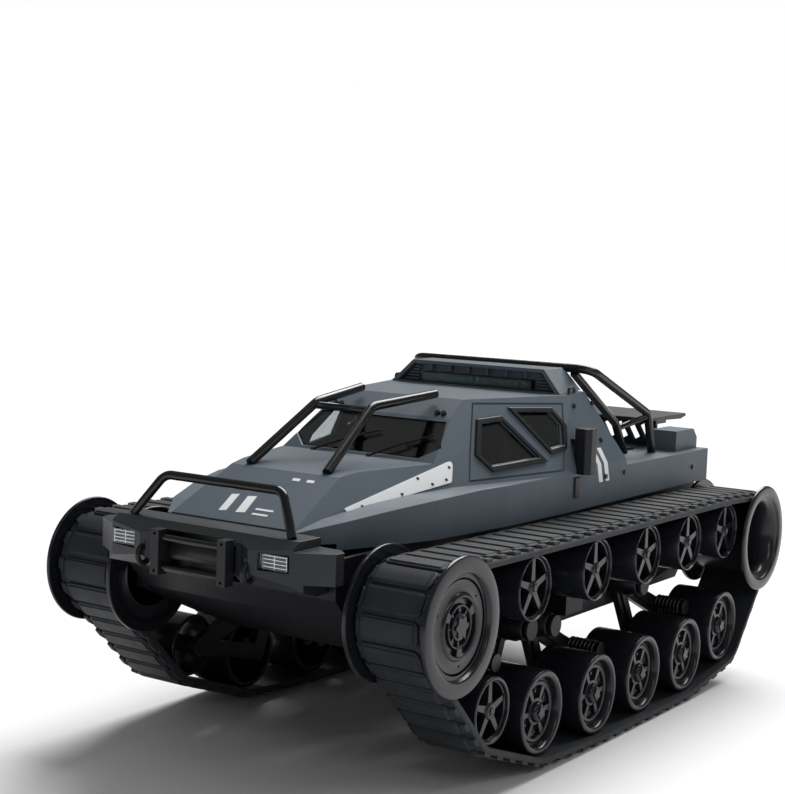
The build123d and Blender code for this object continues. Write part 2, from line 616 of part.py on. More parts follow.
def tow_shackles():
    """Two towing loops on the bumper's front face."""
    ring = Pos(210.2, 30.2, 105.6) * Rot(90, 0, 30) * Torus(4.0, 1.3)
    pad = block((206.4, 211.4), (28.6, 31.6), (108.0, 112.0))
    return both_sides([ring.fuse(pad) - bumper()[0]])


def headlights():
    """Two slatted lamps in the bumper."""
    lamp = block((206.2, 209.4), (35.6, 50.2), (108.2, 115.2))
    return both_sides([lamp])


def mirrors():
    """Door mirrors on short arms."""
    head = block((-20.0, -9.0), (69.5, 79.5), (132.0, 156.0))
    head = chamfer(head.edges().filter_by(Axis.Z), 2.5)
    arm = block((-16.5, -12.5), (63.0, 70.5), (146.0, 150.0))
    vent = block((-12.0, -7.0), (BODY_HALF + 0.05, BODY_HALF + 1.2), (119.5, 130.5))
    return both_sides([off_body(head), off_body(arm - head), off_body(vent)])


# ---------------------------------------------------------------- rear end
def engine_cover():
    """Louvred cover over the deck hatch."""
    (x0, x1), half = DECK_HATCH
    cover = block((x0 + 0.3, x1 - 0.3), (-half + 0.3, half - 0.3), (DECK_Z - 1.5, DECK_Z + 1.5))
    hump = side_prism([(-136, DECK_Z), (-132, 141), (-96, 145), (-88, 143), (-86, DECK_Z)], -30, 30)
    slots = [block((x, x + 3), (-24, 24), (139, 150)) for x in range(-126, -94, 6)]
    hump = hump - Compound(children=slots)
    return [cover.fuse(hump)]


def rear_wing():
    """Flat wing on a perforated riser."""
    plate = side_prism([(-151, 147.6), (-151, 149.4), (-203.5, 149.4), (-204.5, 147.8), (-197, 146.2)],
                       -47.7, 47.7)
    riser = block((-165.5, -162.5), (-46.5, 46.5), (DECK_Z + 0.1, 147.6))
    legs = [block((-190, -165.5), (y - 1, y + 1), (143.5, 147.6)) for y in (-40, 0, 40)]
    holes = [Pos(-164, y, 140) * Rot(30, 0, 0) * Box(8, 4.2, 10) for y in range(-40, 41, 8)]
    parts = [plate, riser - Compound(children=holes) - plate] + [leg - plate for leg in legs]
    return [off_body(part) for part in parts]


# ---------------------------------------------------------------- inside
def battery_pack():
    """Battery in the tub with its end caps."""
    pack = block((-56, 36), (-22, 22), (TUB_FLOOR_Z + 4, TUB_FLOOR_Z + 28))
    return [fillet(pack.edges().filter_by(Axis.X), 3)]


MOTOR_X, MOTOR_Z, MOTOR_R = -150.0, 84.0, 14.0


def drive_motors():
    """Two can motors across the rear of the tub."""
    can = rod_y(MOTOR_X, MOTOR_Z, MOTOR_R, 6.0, 38.0)
    shaft = rod_y(MOTOR_X, MOTOR_Z, 1.6, 38.0, 43.0)
    return both_sides([can.fuse(shaft)])


def gearboxes():
    """Two reduction gearboxes between the motors and the drive shafts."""
    case = loop_plate([(MOTOR_X, MOTOR_Z, 15.0), (*REAR_AXLE, 9.5)], 38.2, 57.0)
    case = case & block((-192.5, -130), (30, 60), (56, 111))
    case = case - rod_y(*REAR_AXLE, DRUM_STUB_R + CLEAR, 44.5, 60)
    return both_sides([case - rod_y(MOTOR_X, MOTOR_Z, 1.8, 38, 43.5)])


def control_board():
    """Receiver and speed-control board with its parts."""
    board = block((60, 120), (-30, 30), (84, 85.6))
    chips = [block((66 + 14 * i, 76 + 14 * i), (-20, -6), (85, 89)) for i in range(3)]
    sink = block((70, 100), (4, 24), (85, 92))
    posts = [rod_z(x, y, 2.4, TUB_FLOOR_Z + TUB_WALL + 0.05, 84.5) for x in (64, 106) for y in (-26, 26)]
    return [board.fuse(*chips, sink, *posts)]


SCREW_SPOTS = [(-27.4, 165.5), (-48.7, 165.8), (-45.3, 146.6)]
WALL_SCREWS = [(-43.5, 127.6), (-66.8, 127.6), (-160.0, 122.0)]


def body_screws():
    """Visible body screws, as separate heads."""
    heads = []
    for x, z in SCREW_SPOTS:
        y = rear_limit(z)
        heads.append(Plane(origin=(x, y + 0.02, z), z_dir=(0, 1, REAR_LEAN))
                     * Pos(0, 0, 0.45) * Cylinder(1.3, 0.9))
    for x, z in WALL_SCREWS:
        heads.append(rod_y(x, z, 1.3, BODY_HALF + 0.02, BODY_HALF + 0.9))
    return both_sides([off_body(head) for head in heads])


# ---------------------------------------------------------------- build
def build():
    """Write every sub-part."""
    os.makedirs("parts", exist_ok=True)
    for make in (upper_shell, lower_tub, window_glass, door_frames, cockpit, roof_pod, light_bar,
                 windshield_guard, roll_cage, bumper, winch_frame, bull_bar, tow_shackles, headlights,
                 mirrors, engine_cover, rear_wing, battery_pack, drive_motors, gearboxes,
                 control_board, body_screws, battery_door, power_switch):
        write_node(make.__name__, make())
    write_node("track_frames", both_sides(track_frame()))

    belt, drum, driver, dished = track(), front_drum(), drive_wheel(), dished_wheel()
    small = spoked_wheel(SMALL_R, WHEEL_IN, WHEEL_OUT, STUB_R, 2.6, 4.6)
    roller = spoked_wheel(ROLLER_TREAD_R, ROLLER_IN, ROLLER_OUT, ROLLER_STUB_R, 2.0, 3.6)
    for side, sign in SIDES:
        write_node(f"track_{side}", [for_side(belt, sign)])
        for name, (x, z), wheel in (("front_drum", FRONT_AXLE, drum), ("drive_wheel", REAR_AXLE, driver)):
            write_node(f"{name}_{side}", [for_side(Pos(x, 0, z) * part, sign) for part in wheel])
        for i, (x, z, _, kind) in enumerate(ROAD_WHEELS, 1):
            wheel = small if kind == "spoked" else dished
            write_node(f"road_wheel_{side}_{i}", [for_side(Pos(x, 0, z) * wheel, sign)])
        for i, x in enumerate(ROLLER_X, 1):
            write_node(f"return_roller_{side}_{i}", [for_side(Pos(x, 0, roller_z(x)) * roller, sign)])
        for place, pivot, carried, post in BOGIES:
            axles = [ROAD_WHEELS[i][:2] for i in carried]
            write_node(f"bogie_{side}_{place}", [for_side(s, sign) for s in bogie(pivot, axles, post)])


build()
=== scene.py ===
import math
import bmesh
import bpy
import numpy as np
from mathutils import Matrix, Vector


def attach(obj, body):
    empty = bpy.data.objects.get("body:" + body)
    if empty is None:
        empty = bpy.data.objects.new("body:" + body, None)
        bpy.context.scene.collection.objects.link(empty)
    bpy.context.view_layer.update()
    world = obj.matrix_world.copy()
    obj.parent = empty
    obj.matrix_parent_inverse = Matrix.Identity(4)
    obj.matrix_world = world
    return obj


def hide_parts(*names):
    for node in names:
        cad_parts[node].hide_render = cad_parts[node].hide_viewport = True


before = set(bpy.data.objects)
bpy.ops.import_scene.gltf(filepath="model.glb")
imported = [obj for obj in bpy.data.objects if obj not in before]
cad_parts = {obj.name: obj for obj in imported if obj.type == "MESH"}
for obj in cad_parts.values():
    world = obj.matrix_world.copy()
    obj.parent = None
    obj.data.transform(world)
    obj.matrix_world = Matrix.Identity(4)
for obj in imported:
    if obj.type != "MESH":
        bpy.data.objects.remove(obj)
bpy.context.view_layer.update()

# Looks of the tracked tank chassis. Shapes are written in millimetres and scaled to metres in place().
# +X forward, +Y to the vehicle's left, +Z up, origin on the ground.
MM = 0.001
SIDES = (("left", 1), ("right", -1))

# ---------------------------------------------------------------- layout, as in the CAD frame
REAR_AXLE = (-184.5, 80.7)
FRONT_AXLE = (162.0, 86.4)
FRONT_TREAD_R, REAR_TREAD_R = 21.2, 22.2
FRONT_FLANGE_R, REAR_FLANGE_R = 31.0, 31.2
FLANGE_IN, FLANGE_OUT, FLANGE_T = 67.6, 109.6, 2.0
DISC_R, SMALL_R = 20.5, 15.8
ROAD_WHEELS = [(122.8, 40.1, SMALL_R), (74.9, 28.9, DISC_R), (16.2, 25.8, DISC_R),
               (-37.5, 25.8, DISC_R), (-92.4, 25.8, DISC_R), (-143.4, 33.2, DISC_R)]
WHEEL_IN, WHEEL_OUT = 74.0, 103.4
ROLLER_X = [88.2, 24.2, -34.5, -88.1, -140.4]
ROLLER_R, TOP_RUN_DROP = 15.8, 2.2
ROLLER_IN, ROLLER_OUT = 84.0, 104.0
BELT_GAP, BELT_BASE = 0.3, 3.0
BELT_IN, BELT_OUT = 70.1, 107.0
PAD_PITCH = 12.5
PAD_IN, PAD_OUT, PAD_HEIGHT = 73.0, 102.8, 2.0
STUB_R, ROLLER_STUB_R, DRUM_STUB_R, PIVOT_R = 2.0, 1.7, 4.0, 3.0
ARM_IN, ARM_OUT, BOSS_OUT = 68.3, 72.3, 85.0
BOGIES = [("front", (60.0, 64.0), (0, 1), (98.8, 55.5)),
          ("middle", (35.2, 61.7), (2, 3), (-10.6, 41.0)),
          ("rear", (-67.4, 66.7), (4, 5), (-118.0, 46.5))]
ROOF_Z = 171.5


def side_y(x, z):
    """Half width of the leaning side of cab and hood."""
    return 36.4 + 0.265 * (47.9 - x) + 0.71 * (ROOF_Z - z)


def rear_y(z):
    """Half width behind the doors, down to the upright wall."""
    return min(72.5, 57.2 + 0.42 * (ROOF_Z - z))


def roller_z(x):
    """Height of a return roller under the straight top run."""
    top = FRONT_AXLE[1] + FRONT_TREAD_R
    return top - TOP_RUN_DROP * (FRONT_AXLE[0] - x) / (FRONT_AXLE[0] - ROLLER_X[-1]) - ROLLER_R


# ---------------------------------------------------------------- materials
def ramp(nodes, low, high, start=0.3, end=0.7):
    """Two-colour ramp node."""
    node = nodes.new("ShaderNodeValToRGB")
    node.color_ramp.elements[0].position, node.color_ramp.elements[1].position = start, end
    node.color_ramp.elements[0].color = (*low, 1)
    node.color_ramp.elements[1].color = (*high, 1)
    return node


def finish_of(name, base, rough, metal=0.0, blotch=0.10, blotch_scale=28.0, grain=900.0, bump=0.06,
              wear=0.0, coat=0.0, spread=0.08, specular=0.5):
    """Moulded or painted finish: mottled colour, uneven gloss, fine grain and rubbed edges."""
    mat = bpy.data.materials.new(name)
    mat.use_nodes = True
    nodes, links = mat.node_tree.nodes, mat.node_tree.links
    shader = nodes["Principled BSDF"]
    shader.inputs["Metallic"].default_value = metal
    shader.inputs["Specular IOR Level"].default_value = specular
    shader.inputs["Coat Weight"].default_value = coat
    shader.inputs["Coat Roughness"].default_value = 0.12
    coords = nodes.new("ShaderNodeTexCoord")
    mottle = nodes.new("ShaderNodeTexNoise")
    mottle.inputs["Scale"].default_value = blotch_scale
    mottle.inputs["Detail"].default_value = 5.0
    links.new(coords.outputs["Object"], mottle.inputs["Vector"])
    tone = ramp(nodes, [c * (1 - blotch) for c in base], [c * (1 + blotch) for c in base])
    links.new(mottle.outputs["Fac"], tone.inputs["Fac"])
    colour = tone.outputs["Color"]
    if wear:
        geometry = nodes.new("ShaderNodeNewGeometry")
        edges = ramp(nodes, (0, 0, 0), (1, 1, 1), 0.53, 0.62)
        links.new(geometry.outputs["Pointiness"], edges.inputs["Fac"])
        amount = nodes.new("ShaderNodeMath")
        amount.operation = "MULTIPLY"
        amount.inputs[1].default_value = wear
        links.new(edges.outputs["Color"], amount.inputs[0])
        rubbed = nodes.new("ShaderNodeMix")
        rubbed.data_type = "RGBA"
        rubbed.inputs["B"].default_value = (*[min(1.0, c * 2.0 + 0.012) for c in base], 1)
        links.new(amount.outputs[0], rubbed.inputs["Factor"])
        links.new(colour, rubbed.inputs["A"])
        colour = rubbed.outputs["Result"]
    links.new(colour, shader.inputs["Base Color"])
    uneven = nodes.new("ShaderNodeTexNoise")
    uneven.inputs["Scale"].default_value = blotch_scale * 3.1
    uneven.inputs["Detail"].default_value = 6.0
    links.new(coords.outputs["Object"], uneven.inputs["Vector"])
    gloss = nodes.new("ShaderNodeMapRange")
    gloss.inputs["To Min"].default_value = max(0.02, rough - spread)
    gloss.inputs["To Max"].default_value = rough + spread
    links.new(uneven.outputs["Fac"], gloss.inputs["Value"])
    links.new(gloss.outputs["Result"], shader.inputs["Roughness"])
    pores = nodes.new("ShaderNodeTexNoise")
    pores.inputs["Scale"].default_value = grain
    pores.inputs["Detail"].default_value = 3.0
    links.new(coords.outputs["Object"], pores.inputs["Vector"])
    relief = nodes.new("ShaderNodeBump")
    relief.inputs["Strength"].default_value = bump
    relief.inputs["Distance"].default_value = 0.0004
    links.new(pores.outputs["Fac"], relief.inputs["Height"])
    links.new(relief.outputs["Normal"], shader.inputs["Normal"])
    return mat


def clear_finish(name, tint, rough, ior=1.46):
    """Clear moulding with a faintly uneven surface."""
    mat = finish_of(name, tint, rough, blotch=0.03, grain=60.0, bump=0.02, spread=0.02)
    mat.node_tree.nodes["Principled BSDF"].inputs["Transmission Weight"].default_value = 1.0
    mat.node_tree.nodes["Principled BSDF"].inputs["IOR"].default_value = ior
    return mat


M = {
    "shell": finish_of("shell_paint", (0.084, 0.108, 0.132), 0.44, blotch=0.05, grain=1500, bump=0.10,
                       wear=0.10, specular=0.30),
    "black": finish_of("black_moulding", (0.008, 0.009, 0.011), 0.34, grain=1300, bump=0.10, wear=0.10,
                       specular=0.30),
    "chassis": finish_of("chassis_moulding", (0.006, 0.006, 0.009), 0.44, grain=900, bump=0.14, wear=0.10,
                         specular=0.25),
    "bumper": finish_of("bumper_moulding", (0.014, 0.016, 0.019), 0.36, grain=1400, bump=0.12, wear=0.10,
                        specular=0.35),
    "tube": finish_of("tube_enamel", (0.005, 0.006, 0.007), 0.22, grain=700, bump=0.04, wear=0.08, coat=0.15,
                      specular=0.35),
    "wheel": finish_of("wheel_moulding", (0.008, 0.009, 0.012), 0.24, grain=1200, bump=0.05, wear=0.08,
                       coat=0.10, specular=0.35),
    "arm": finish_of("arm_moulding", (0.006, 0.006, 0.008), 0.34, grain=1000, bump=0.10, wear=0.10,
                     specular=0.30),
    "rubber": finish_of("track_rubber", (0.020, 0.022, 0.025), 0.56, blotch=0.22, blotch_scale=60, grain=1700,
                        bump=0.22, wear=0.16, spread=0.10, specular=0.25),
    "cabin": finish_of("cabin_moulding", (0.045, 0.047, 0.052), 0.5, grain=1200, bump=0.1),
    "cabin_dark": finish_of("cabin_dark", (0.016, 0.017, 0.019), 0.5, grain=1200, bump=0.1),
    "white": finish_of("white_marking", (0.87, 0.89, 0.90), 0.40, blotch=0.03, grain=1300, bump=0.03),
    "spring": finish_of("spring_steel", (0.045, 0.047, 0.052), 0.26, metal=1.0, grain=1600, bump=0.03,
                        blotch=0.05),
    "screw": finish_of("dark_screw", (0.05, 0.052, 0.056), 0.3, metal=0.8, grain=1400, bump=0.05),
    "motor": finish_of("motor_can", (0.36, 0.36, 0.37), 0.3, metal=1.0, grain=1500, bump=0.05),
    "battery": finish_of("battery_wrap", (0.03, 0.07, 0.16), 0.35, grain=500, bump=0.05),
    "board": finish_of("board_green", (0.02, 0.09, 0.045), 0.4, grain=800, bump=0.05),
    "switch": finish_of("switch_red", (0.35, 0.02, 0.02), 0.35, grain=900, bump=0.05),
    "reflector": finish_of("lamp_reflector", (0.55, 0.60, 0.60), 0.18, metal=1.0, blotch=0.05, bump=0.02),
    "led": finish_of("led_die", (0.50, 0.56, 0.42), 0.3, blotch=0.05, bump=0.02),
    "glass": clear_finish("window_clear", (0.80, 0.84, 0.85), 0.03),
    "lens": clear_finish("lamp_clear", (0.93, 0.95, 0.95), 0.06),
    "bar_lens": clear_finish("bar_clear", (0.50, 0.64, 0.64), 0.30),
}


# ---------------------------------------------------------------- mesh building
class Shape:
    """Points and faces of one piece, with a material number on each face."""

    def __init__(self):
        self.points, self.faces, self.mats = [], [], []

    def add(self, points, faces, mat=0):
        """Append a part."""
        start = len(self.points)
        self.points += [tuple(map(float, p)) for p in points]
        self.faces += [tuple(i + start for i in f) for f in faces]
        self.mats += [mat] * len(faces)
        return self

    def join(self, other, matrix=None, mat=None):
        """Append another shape, moved by a matrix."""
        points = other.points if matrix is None else [matrix @ Vector(p) for p in other.points]
        start = len(self.points)
        self.points += [tuple(p) for p in points]
        self.faces += [tuple(i + start for i in f) for f in other.faces]
        self.mats += other.mats if mat is None else [mat] * len(other.faces)
        return self

    def mirrored(self):
        """Copy reflected to the other side of the vehicle."""
        twin = Shape()
        twin.points = [(x, -y, z) for x, y, z in self.points]
        twin.faces = [tuple(reversed(f)) for f in self.faces]
        twin.mats = list(self.mats)
        return twin

    def both_sides(self):
        """The shape and its reflection."""
        return Shape().join(self).join(self.mirrored())


def place(shape, name, mats, body="root", replaces=(), bevel=0.0, angle=32, segments=2, at=None):
    """Turn a shape into a Blender object that rides on a body."""
    mesh = bpy.data.meshes.new(name)
    mesh.from_pydata([tuple(c * MM for c in p) for p in shape.points], [], shape.faces)
    for m in mats:
        mesh.materials.append(M[m])
    mesh.polygons.foreach_set("material_index", shape.mats)
    tidy = bmesh.new()
    tidy.from_mesh(mesh)
    bmesh.ops.remove_doubles(tidy, verts=tidy.verts, dist=1e-7)
    bmesh.ops.recalc_face_normals(tidy, faces=tidy.faces)
    tidy.to_mesh(mesh)
    tidy.free()
    mesh.shade_smooth()
    mesh.set_sharp_from_angle(angle=math.radians(angle))
    obj = bpy.data.objects.new(name, mesh)
    bpy.context.scene.collection.objects.link(obj)
    if at is not None:
        obj.matrix_world = at
    if bevel:
        round_edges(obj, bevel, angle, segments)
    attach(obj, body)
    if replaces:
        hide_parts(*replaces)
    return obj


def round_edges(obj, width, angle=32, segments=2):
    """Small radius on every edge sharper than an angle."""
    mod = obj.modifiers.new("edge_radius", "BEVEL")
    mod.width = width * MM
    mod.segments = segments
    mod.limit_method = "ANGLE"
    mod.angle_limit = math.radians(angle)
    mod.use_clamp_overlap = True
    mod.harden_normals = True


def lathe(profile, turns=96, centre=(0, 0, 0)):
    """Surface turned about Y from a closed profile of (radius, y) points."""
    shape, rings = Shape(), []
    points, faces = [], []
    for r, y in profile:
        if r < 1e-6:
            rings.append([len(points)] * turns)
            points.append((centre[0], centre[1] + y, centre[2]))
        else:
            rings.append(list(range(len(points), len(points) + turns)))
            points += [(centre[0] + r * math.cos(2 * math.pi * i / turns), centre[1] + y,
                        centre[2] + r * math.sin(2 * math.pi * i / turns)) for i in range(turns)]
    for a, b in zip(rings, rings[1:] + rings[:1]):
        for i in range(turns):
            j = (i + 1) % turns
            face = []
            for k in (a[i], b[i], b[j], a[j]):
                if k not in face:
                    face.append(k)
            if len(face) > 2:
                faces.append(tuple(face))
    return shape.add(points, faces)


def prism(outline, low, high, axis="y"):
    """Solid with a flat outline between two planes square to an axis."""
    order = {"y": lambda u, v, w: (u, w, v), "x": lambda u, v, w: (w, u, v)}[axis]
    n = len(outline)
    points = [order(u, v, low) for u, v in outline] + [order(u, v, high) for u, v in outline]
    faces = [tuple(range(n)), tuple(range(2 * n - 1, n - 1, -1))]
    faces += [(i, (i + 1) % n, (i + 1) % n + n, i + n) for i in range(n)]
    return Shape().add(points, faces)


def block(x, y, z):
    """Box between two corners."""
    return prism([(x[0], z[0]), (x[1], z[0]), (x[1], z[1]), (x[0], z[1])], y[0], y[1])


def rounded(outline, radius, steps=5):
    """Planar outline, 2-D or 3-D, with its corners rounded."""
    made = []
    n = len(outline)
    for i in range(n):
        a, b, c = (np.array(outline[(i + k) % n], float) for k in (-1, 0, 1))
        u, v = (a - b) / np.linalg.norm(a - b), (c - b) / np.linalg.norm(c - b)
        half = math.acos(max(-1, min(1, float(u @ v)))) / 2
        reach = min(radius / math.tan(half), 0.45 * np.linalg.norm(a - b), 0.45 * np.linalg.norm(c - b))
        p, q = b + u * reach, b + v * reach
        for s in range(steps + 1):
            t = s / steps
            made.append(tuple((1 - t) ** 2 * p + 2 * t * (1 - t) * b + t ** 2 * q))
    return made


def plate(outline, out, thickness, lift=0.02):
    """Thin solid lying on a plane: a 3-D outline raised along the plane's normal."""
    out = np.array(out, float) / np.linalg.norm(out)
    base = [np.array(p, float) + out * lift for p in outline]
    n = len(base)
    points = base + [p + out * thickness for p in base]
    faces = [tuple(range(n)), tuple(range(2 * n - 1, n - 1, -1))]
    faces += [(i, (i + 1) % n, (i + 1) % n + n, i + n) for i in range(n)]
    return Shape().add(points, faces)


def bar(points, radius, sides=20, closed=False):
    """Round bar through a chain of points."""
    line = [np.array(p, float) for p in points]
    n = len(line)
    made, faces, up = [], [], None
    for i in range(n):
        if closed:
            ahead, behind = line[(i + 1) % n], line[i - 1]
        else:
            ahead, behind = line[min(i + 1, n - 1)], line[max(i - 1, 0)]
        t = (ahead - behind) / np.linalg.norm(ahead - behind)
        if up is None:
            up = np.cross(t, (0, 1, 0)) if abs(t[1]) < 0.9 else np.cross(t, (1, 0, 0))
        up = up - t * (up @ t)
        up = up / np.linalg.norm(up)
        side = np.cross(t, up)
        made += [line[i] + radius * (math.cos(a) * up + math.sin(a) * side)
                 for a in (2 * math.pi * k / sides for k in range(sides))]
    for i in range(n if closed else n - 1):
        j = (i + 1) % n
        for k in range(sides):
            m = (k + 1) % sides
            faces.append((i * sides + k, i * sides + m, j * sides + m, j * sides + k))
    if not closed:
        faces.append(tuple(range(sides - 1, -1, -1)))
        faces.append(tuple(range((n - 1) * sides, n * sides)))
    return Shape().add(made, faces)


def bent(points, radius, steps=8):
    """Chain of points with each inner corner turned into an arc."""
    line = [np.array(p, float) for p in points]
    made = [line[0]]
    for a, b, c in zip(line, line[1:], line[2:]):
        u, v = (a - b) / np.linalg.norm(a - b), (c - b) / np.linalg.norm(c - b)
        half = math.acos(float(u @ v)) / 2
        reach = min(radius / math.tan(half), 0.48 * np.linalg.norm(a - b), 0.48 * np.linalg.norm(c - b))
        arc_r = reach * math.tan(half)
        middle = b + (u + v) / np.linalg.norm(u + v) * arc_r / math.sin(half)
        p, q = b + u * reach - middle, b + v * reach - middle
        sweep = math.pi - 2 * half
        for s in range(steps + 1):
            t = s / steps
            made.append(middle + (math.sin((1 - t) * sweep) * p + math.sin(t * sweep) * q) / math.sin(sweep))
    return made + [line[-1]]


def helix(centre, y_low, y_high, radius, turns, steps=28):
    """Points of a coil about a line along Y."""
    count = int(turns * steps)
    return [(centre[0] + radius * math.cos(2 * math.pi * i / steps), y_low + (y_high - y_low) * i / count,
             centre[1] + radius * math.sin(2 * math.pi * i / steps)) for i in range(count + 1)]


def capsule(start, end, radius, low, high, steps=14):
    """Flat link with round ends in the side view."""
    heading = math.atan2(end[1] - start[1], end[0] - start[0])
    outline = []
    for spot, turn in ((end, -math.pi / 2), (start, math.pi / 2)):
        angles = [heading + turn + math.pi * s / steps for s in range(steps + 1)]
        outline += [(spot[0] + radius * math.cos(a), spot[1] + radius * math.sin(a)) for a in angles]
    return prism(outline, low, high)


def star(radius, inner, lobes, low, high, centre=(0, 0)):
    """Lobed bolt head about Y."""
    n = lobes * 6
    outline = []
    for i in range(n):
        a = 2 * math.pi * i / n
        r = inner + (radius - inner) * (0.5 + 0.5 * math.cos(lobes * a))
        outline.append((centre[0] + r * math.cos(a), centre[1] + r * math.sin(a)))
    return prism(outline, low, high)


# ---------------------------------------------------------------- rubber tracks
class BeltLine:
    """Closed belt line in the side view, made of arcs and straight runs."""

    def __init__(self, circles):
        self.runs, self.length = [], 0.0
        angles = []
        for (x1, z1, r1), (x2, z2, r2) in zip(circles, circles[1:] + circles[:1]):
            span = math.hypot(x2 - x1, z2 - z1)
            angles.append(math.atan2(z2 - z1, x2 - x1) - math.acos((r1 - r2) / span))
        for i, (x, z, r) in enumerate(circles):
            turn = (angles[i] - angles[i - 1]) % (2 * math.pi)
            self.runs.append(("arc", (x, z), r, angles[i - 1], turn, r * turn))
            x2, z2, r2 = circles[(i + 1) % len(circles)]
            a = angles[i]
            start = (x + r * math.cos(a), z + r * math.sin(a))
            end = (x2 + r2 * math.cos(a), z2 + r2 * math.sin(a))
            self.runs.append(("line", start, end, a, 0.0, math.dist(start, end)))
        self.length = sum(run[-1] for run in self.runs)

    def spot(self, s):
        """Point and outward normal at a distance along the line."""
        s %= self.length
        for kind, p, q, a, turn, long in self.runs:
            if s <= long:
                break
            s -= long
        if kind == "arc":
            b = a + turn * s / long
            return (p[0] + q * math.cos(b), p[1] + q * math.sin(b)), (math.cos(b), math.sin(b))
        t = s / long
        return (p[0] + (q[0] - p[0]) * t, p[1] + (q[1] - p[1]) * t), (math.cos(a), math.sin(a))

    def stations(self, step_line, step_turn):
        """Distances that follow the arcs closely and the straight runs loosely."""
        made, s = [], 0.0
        for kind, _, _, _, turn, long in self.runs:
            count = max(1, math.ceil(turn / step_turn) if kind == "arc" else math.ceil(long / step_line))
            made += [s + long * k / count for k in range(count)]
            s += long
        return made


def belt_circles(grow):
    """Circles that a layer of the belt wraps, counter-clockwise from the front drum."""
    last = ROLLER_X[-1]
    wheels = [(*FRONT_AXLE, FRONT_TREAD_R), (last, roller_z(last), ROLLER_R), (*REAR_AXLE, REAR_TREAD_R)]
    wheels += [w for i, w in reversed(list(enumerate(ROAD_WHEELS))) if i != 3]
    return [(x, z, r + BELT_GAP + grow) for x, z, r in wheels]


def belt_shape():
    """Belt carcass with bevelled edges, tread pads, shoulder blocks and a ribbed inner face."""
    line = BeltLine(belt_circles(0.0))
    shape = Shape()
    section = [(BELT_IN + 0.3, 0.0), (BELT_OUT - 0.3, 0.0), (BELT_OUT, 0.4), (BELT_OUT, 2.3),
               (BELT_OUT - 0.7, BELT_BASE), (BELT_IN + 0.7, BELT_BASE), (BELT_IN, 2.3), (BELT_IN, 0.4)]
    stations = line.stations(8.0, math.radians(6))
    points, faces = [], []
    for s in stations:
        (x, z), (nx, nz) = line.spot(s)
        points += [(x + n * nx, y, z + n * nz) for y, n in section]
    k, count = len(section), len(stations)
    for i in range(count):
        j = (i + 1) % count
        for m in range(k):
            faces.append((i * k + m, i * k + (m + 1) % k, j * k + (m + 1) % k, j * k + m))
    shape.add(points, faces)

    outer = BeltLine(belt_circles(BELT_BASE))
    pads = round(outer.length / PAD_PITCH)
    pitch = outer.length / pads

    def on_belt(s, y, n):
        (x, z), (nx, nz) = outer.spot(s)
        return (x + n * nx, y, z + n * nz)

    columns = [-1, -0.93, -0.82, -0.74, -0.35, 0.0, 0.35, 0.74, 0.82, 0.93, 1]
    heights = [0.9, 1.25, 1.35, 2.0, 2.0, 2.0, 2.0, 2.0, 1.35, 1.25, 0.9]
    y0, y1, corner = PAD_IN, PAD_OUT, 3.2
    rows = [0.0, 0.25, 0.7, 1.2, 1.7, 2.4, 3.4, 5.0]
    rows = rows + [(y1 - y0) / 2] + [y1 - y0 - r for r in reversed(rows)]

    def half_length(d_in, d_out):
        full, cut = 0.435 * pitch, 0.0
        for d, r in ((d_in, 1.6), (d_out, corner)):
            if d < r:
                cut = max(cut, r - math.sqrt(max(0.0, r * r - (r - d) ** 2)))
        return full - cut

    for i in range(pads):
        mid = (i + 0.5) * pitch
        points, faces, c = [], [], len(columns)
        for row in rows:
            d_in, d_out = row, y1 - y0 - row
            edge = min(d_in, d_out)
            half = half_length(d_in, d_out)
            drop = 0.0 if edge >= 1.7 else 0.65 if edge >= 0.7 else 0.75 if edge >= 0.25 else 1.1
            points += [on_belt(mid + half * u, y0 + row, max(0.5, min(h, PAD_HEIGHT - drop)))
                       for u, h in zip(columns, heights)]
        for r in range(len(rows) - 1):
            for q in range(c - 1):
                faces.append((r * c + q, r * c + q + 1, (r + 1) * c + q + 1, (r + 1) * c + q))
        last = len(rows) - 1
        rim = list(range(c)) + [r * c + c - 1 for r in range(1, last + 1)]
        rim += [last * c + q for q in range(c - 2, -1, -1)] + [r * c for r in range(last - 1, 0, -1)]
        start = len(points)
        for index in rim:
            r, q = divmod(index, c)
            row = rows[r]
            half = half_length(row, y1 - y0 - row)
            points.append(on_belt(mid + half * columns[q] * 1.02, y0 + row, -0.4))
        for a in range(len(rim)):
            b = (a + 1) % len(rim)
            faces.append((rim[a], start + a, start + b, rim[b]))
        faces.append(tuple(range(start, start + len(rim))))
        shape.add(points, faces)
        for low, high, tall, long, skew in ((103.3, 106.4, 1.5, 4.2, 2.2), (70.6, 72.5, 1.1, 4.6, 0.0)):
            ring = []
            for n, shrink in ((-0.4, 0.0), (tall - 0.5, 0.0), (tall, 0.5)):
                for s, y in ((-long + skew, low), (long + skew * 0.2, low), (long - 1.6 + skew, high),
                             (-long + 1.6 + skew, high)):
                    toward = shrink if s < 0 else -shrink
                    across = shrink if y == low else -shrink
                    ring.append(on_belt(mid + s + toward, y + across, n))
            faces = [(3, 2, 1, 0), (8, 9, 10, 11)]
            faces += [(f + a, f + (a + 1) % 4, f + 4 + (a + 1) % 4, f + 4 + a)
                      for f in (0, 4) for a in range(4)]
            shape.add(ring, faces)
    return shape


belt = belt_shape()
for side, sign in SIDES:
    place(belt if sign > 0 else belt.mirrored(), f"rubber_track_{side}", ["rubber"],
          replaces=[f"track_{side}"], angle=28)


# ---------------------------------------------------------------- wheels
def hexagon(u, v, size):
    """Corners of a hexagon about a point."""
    return [(u + size * math.cos(math.pi / 3 * k), v + size * math.sin(math.pi / 3 * k)) for k in range(6)]


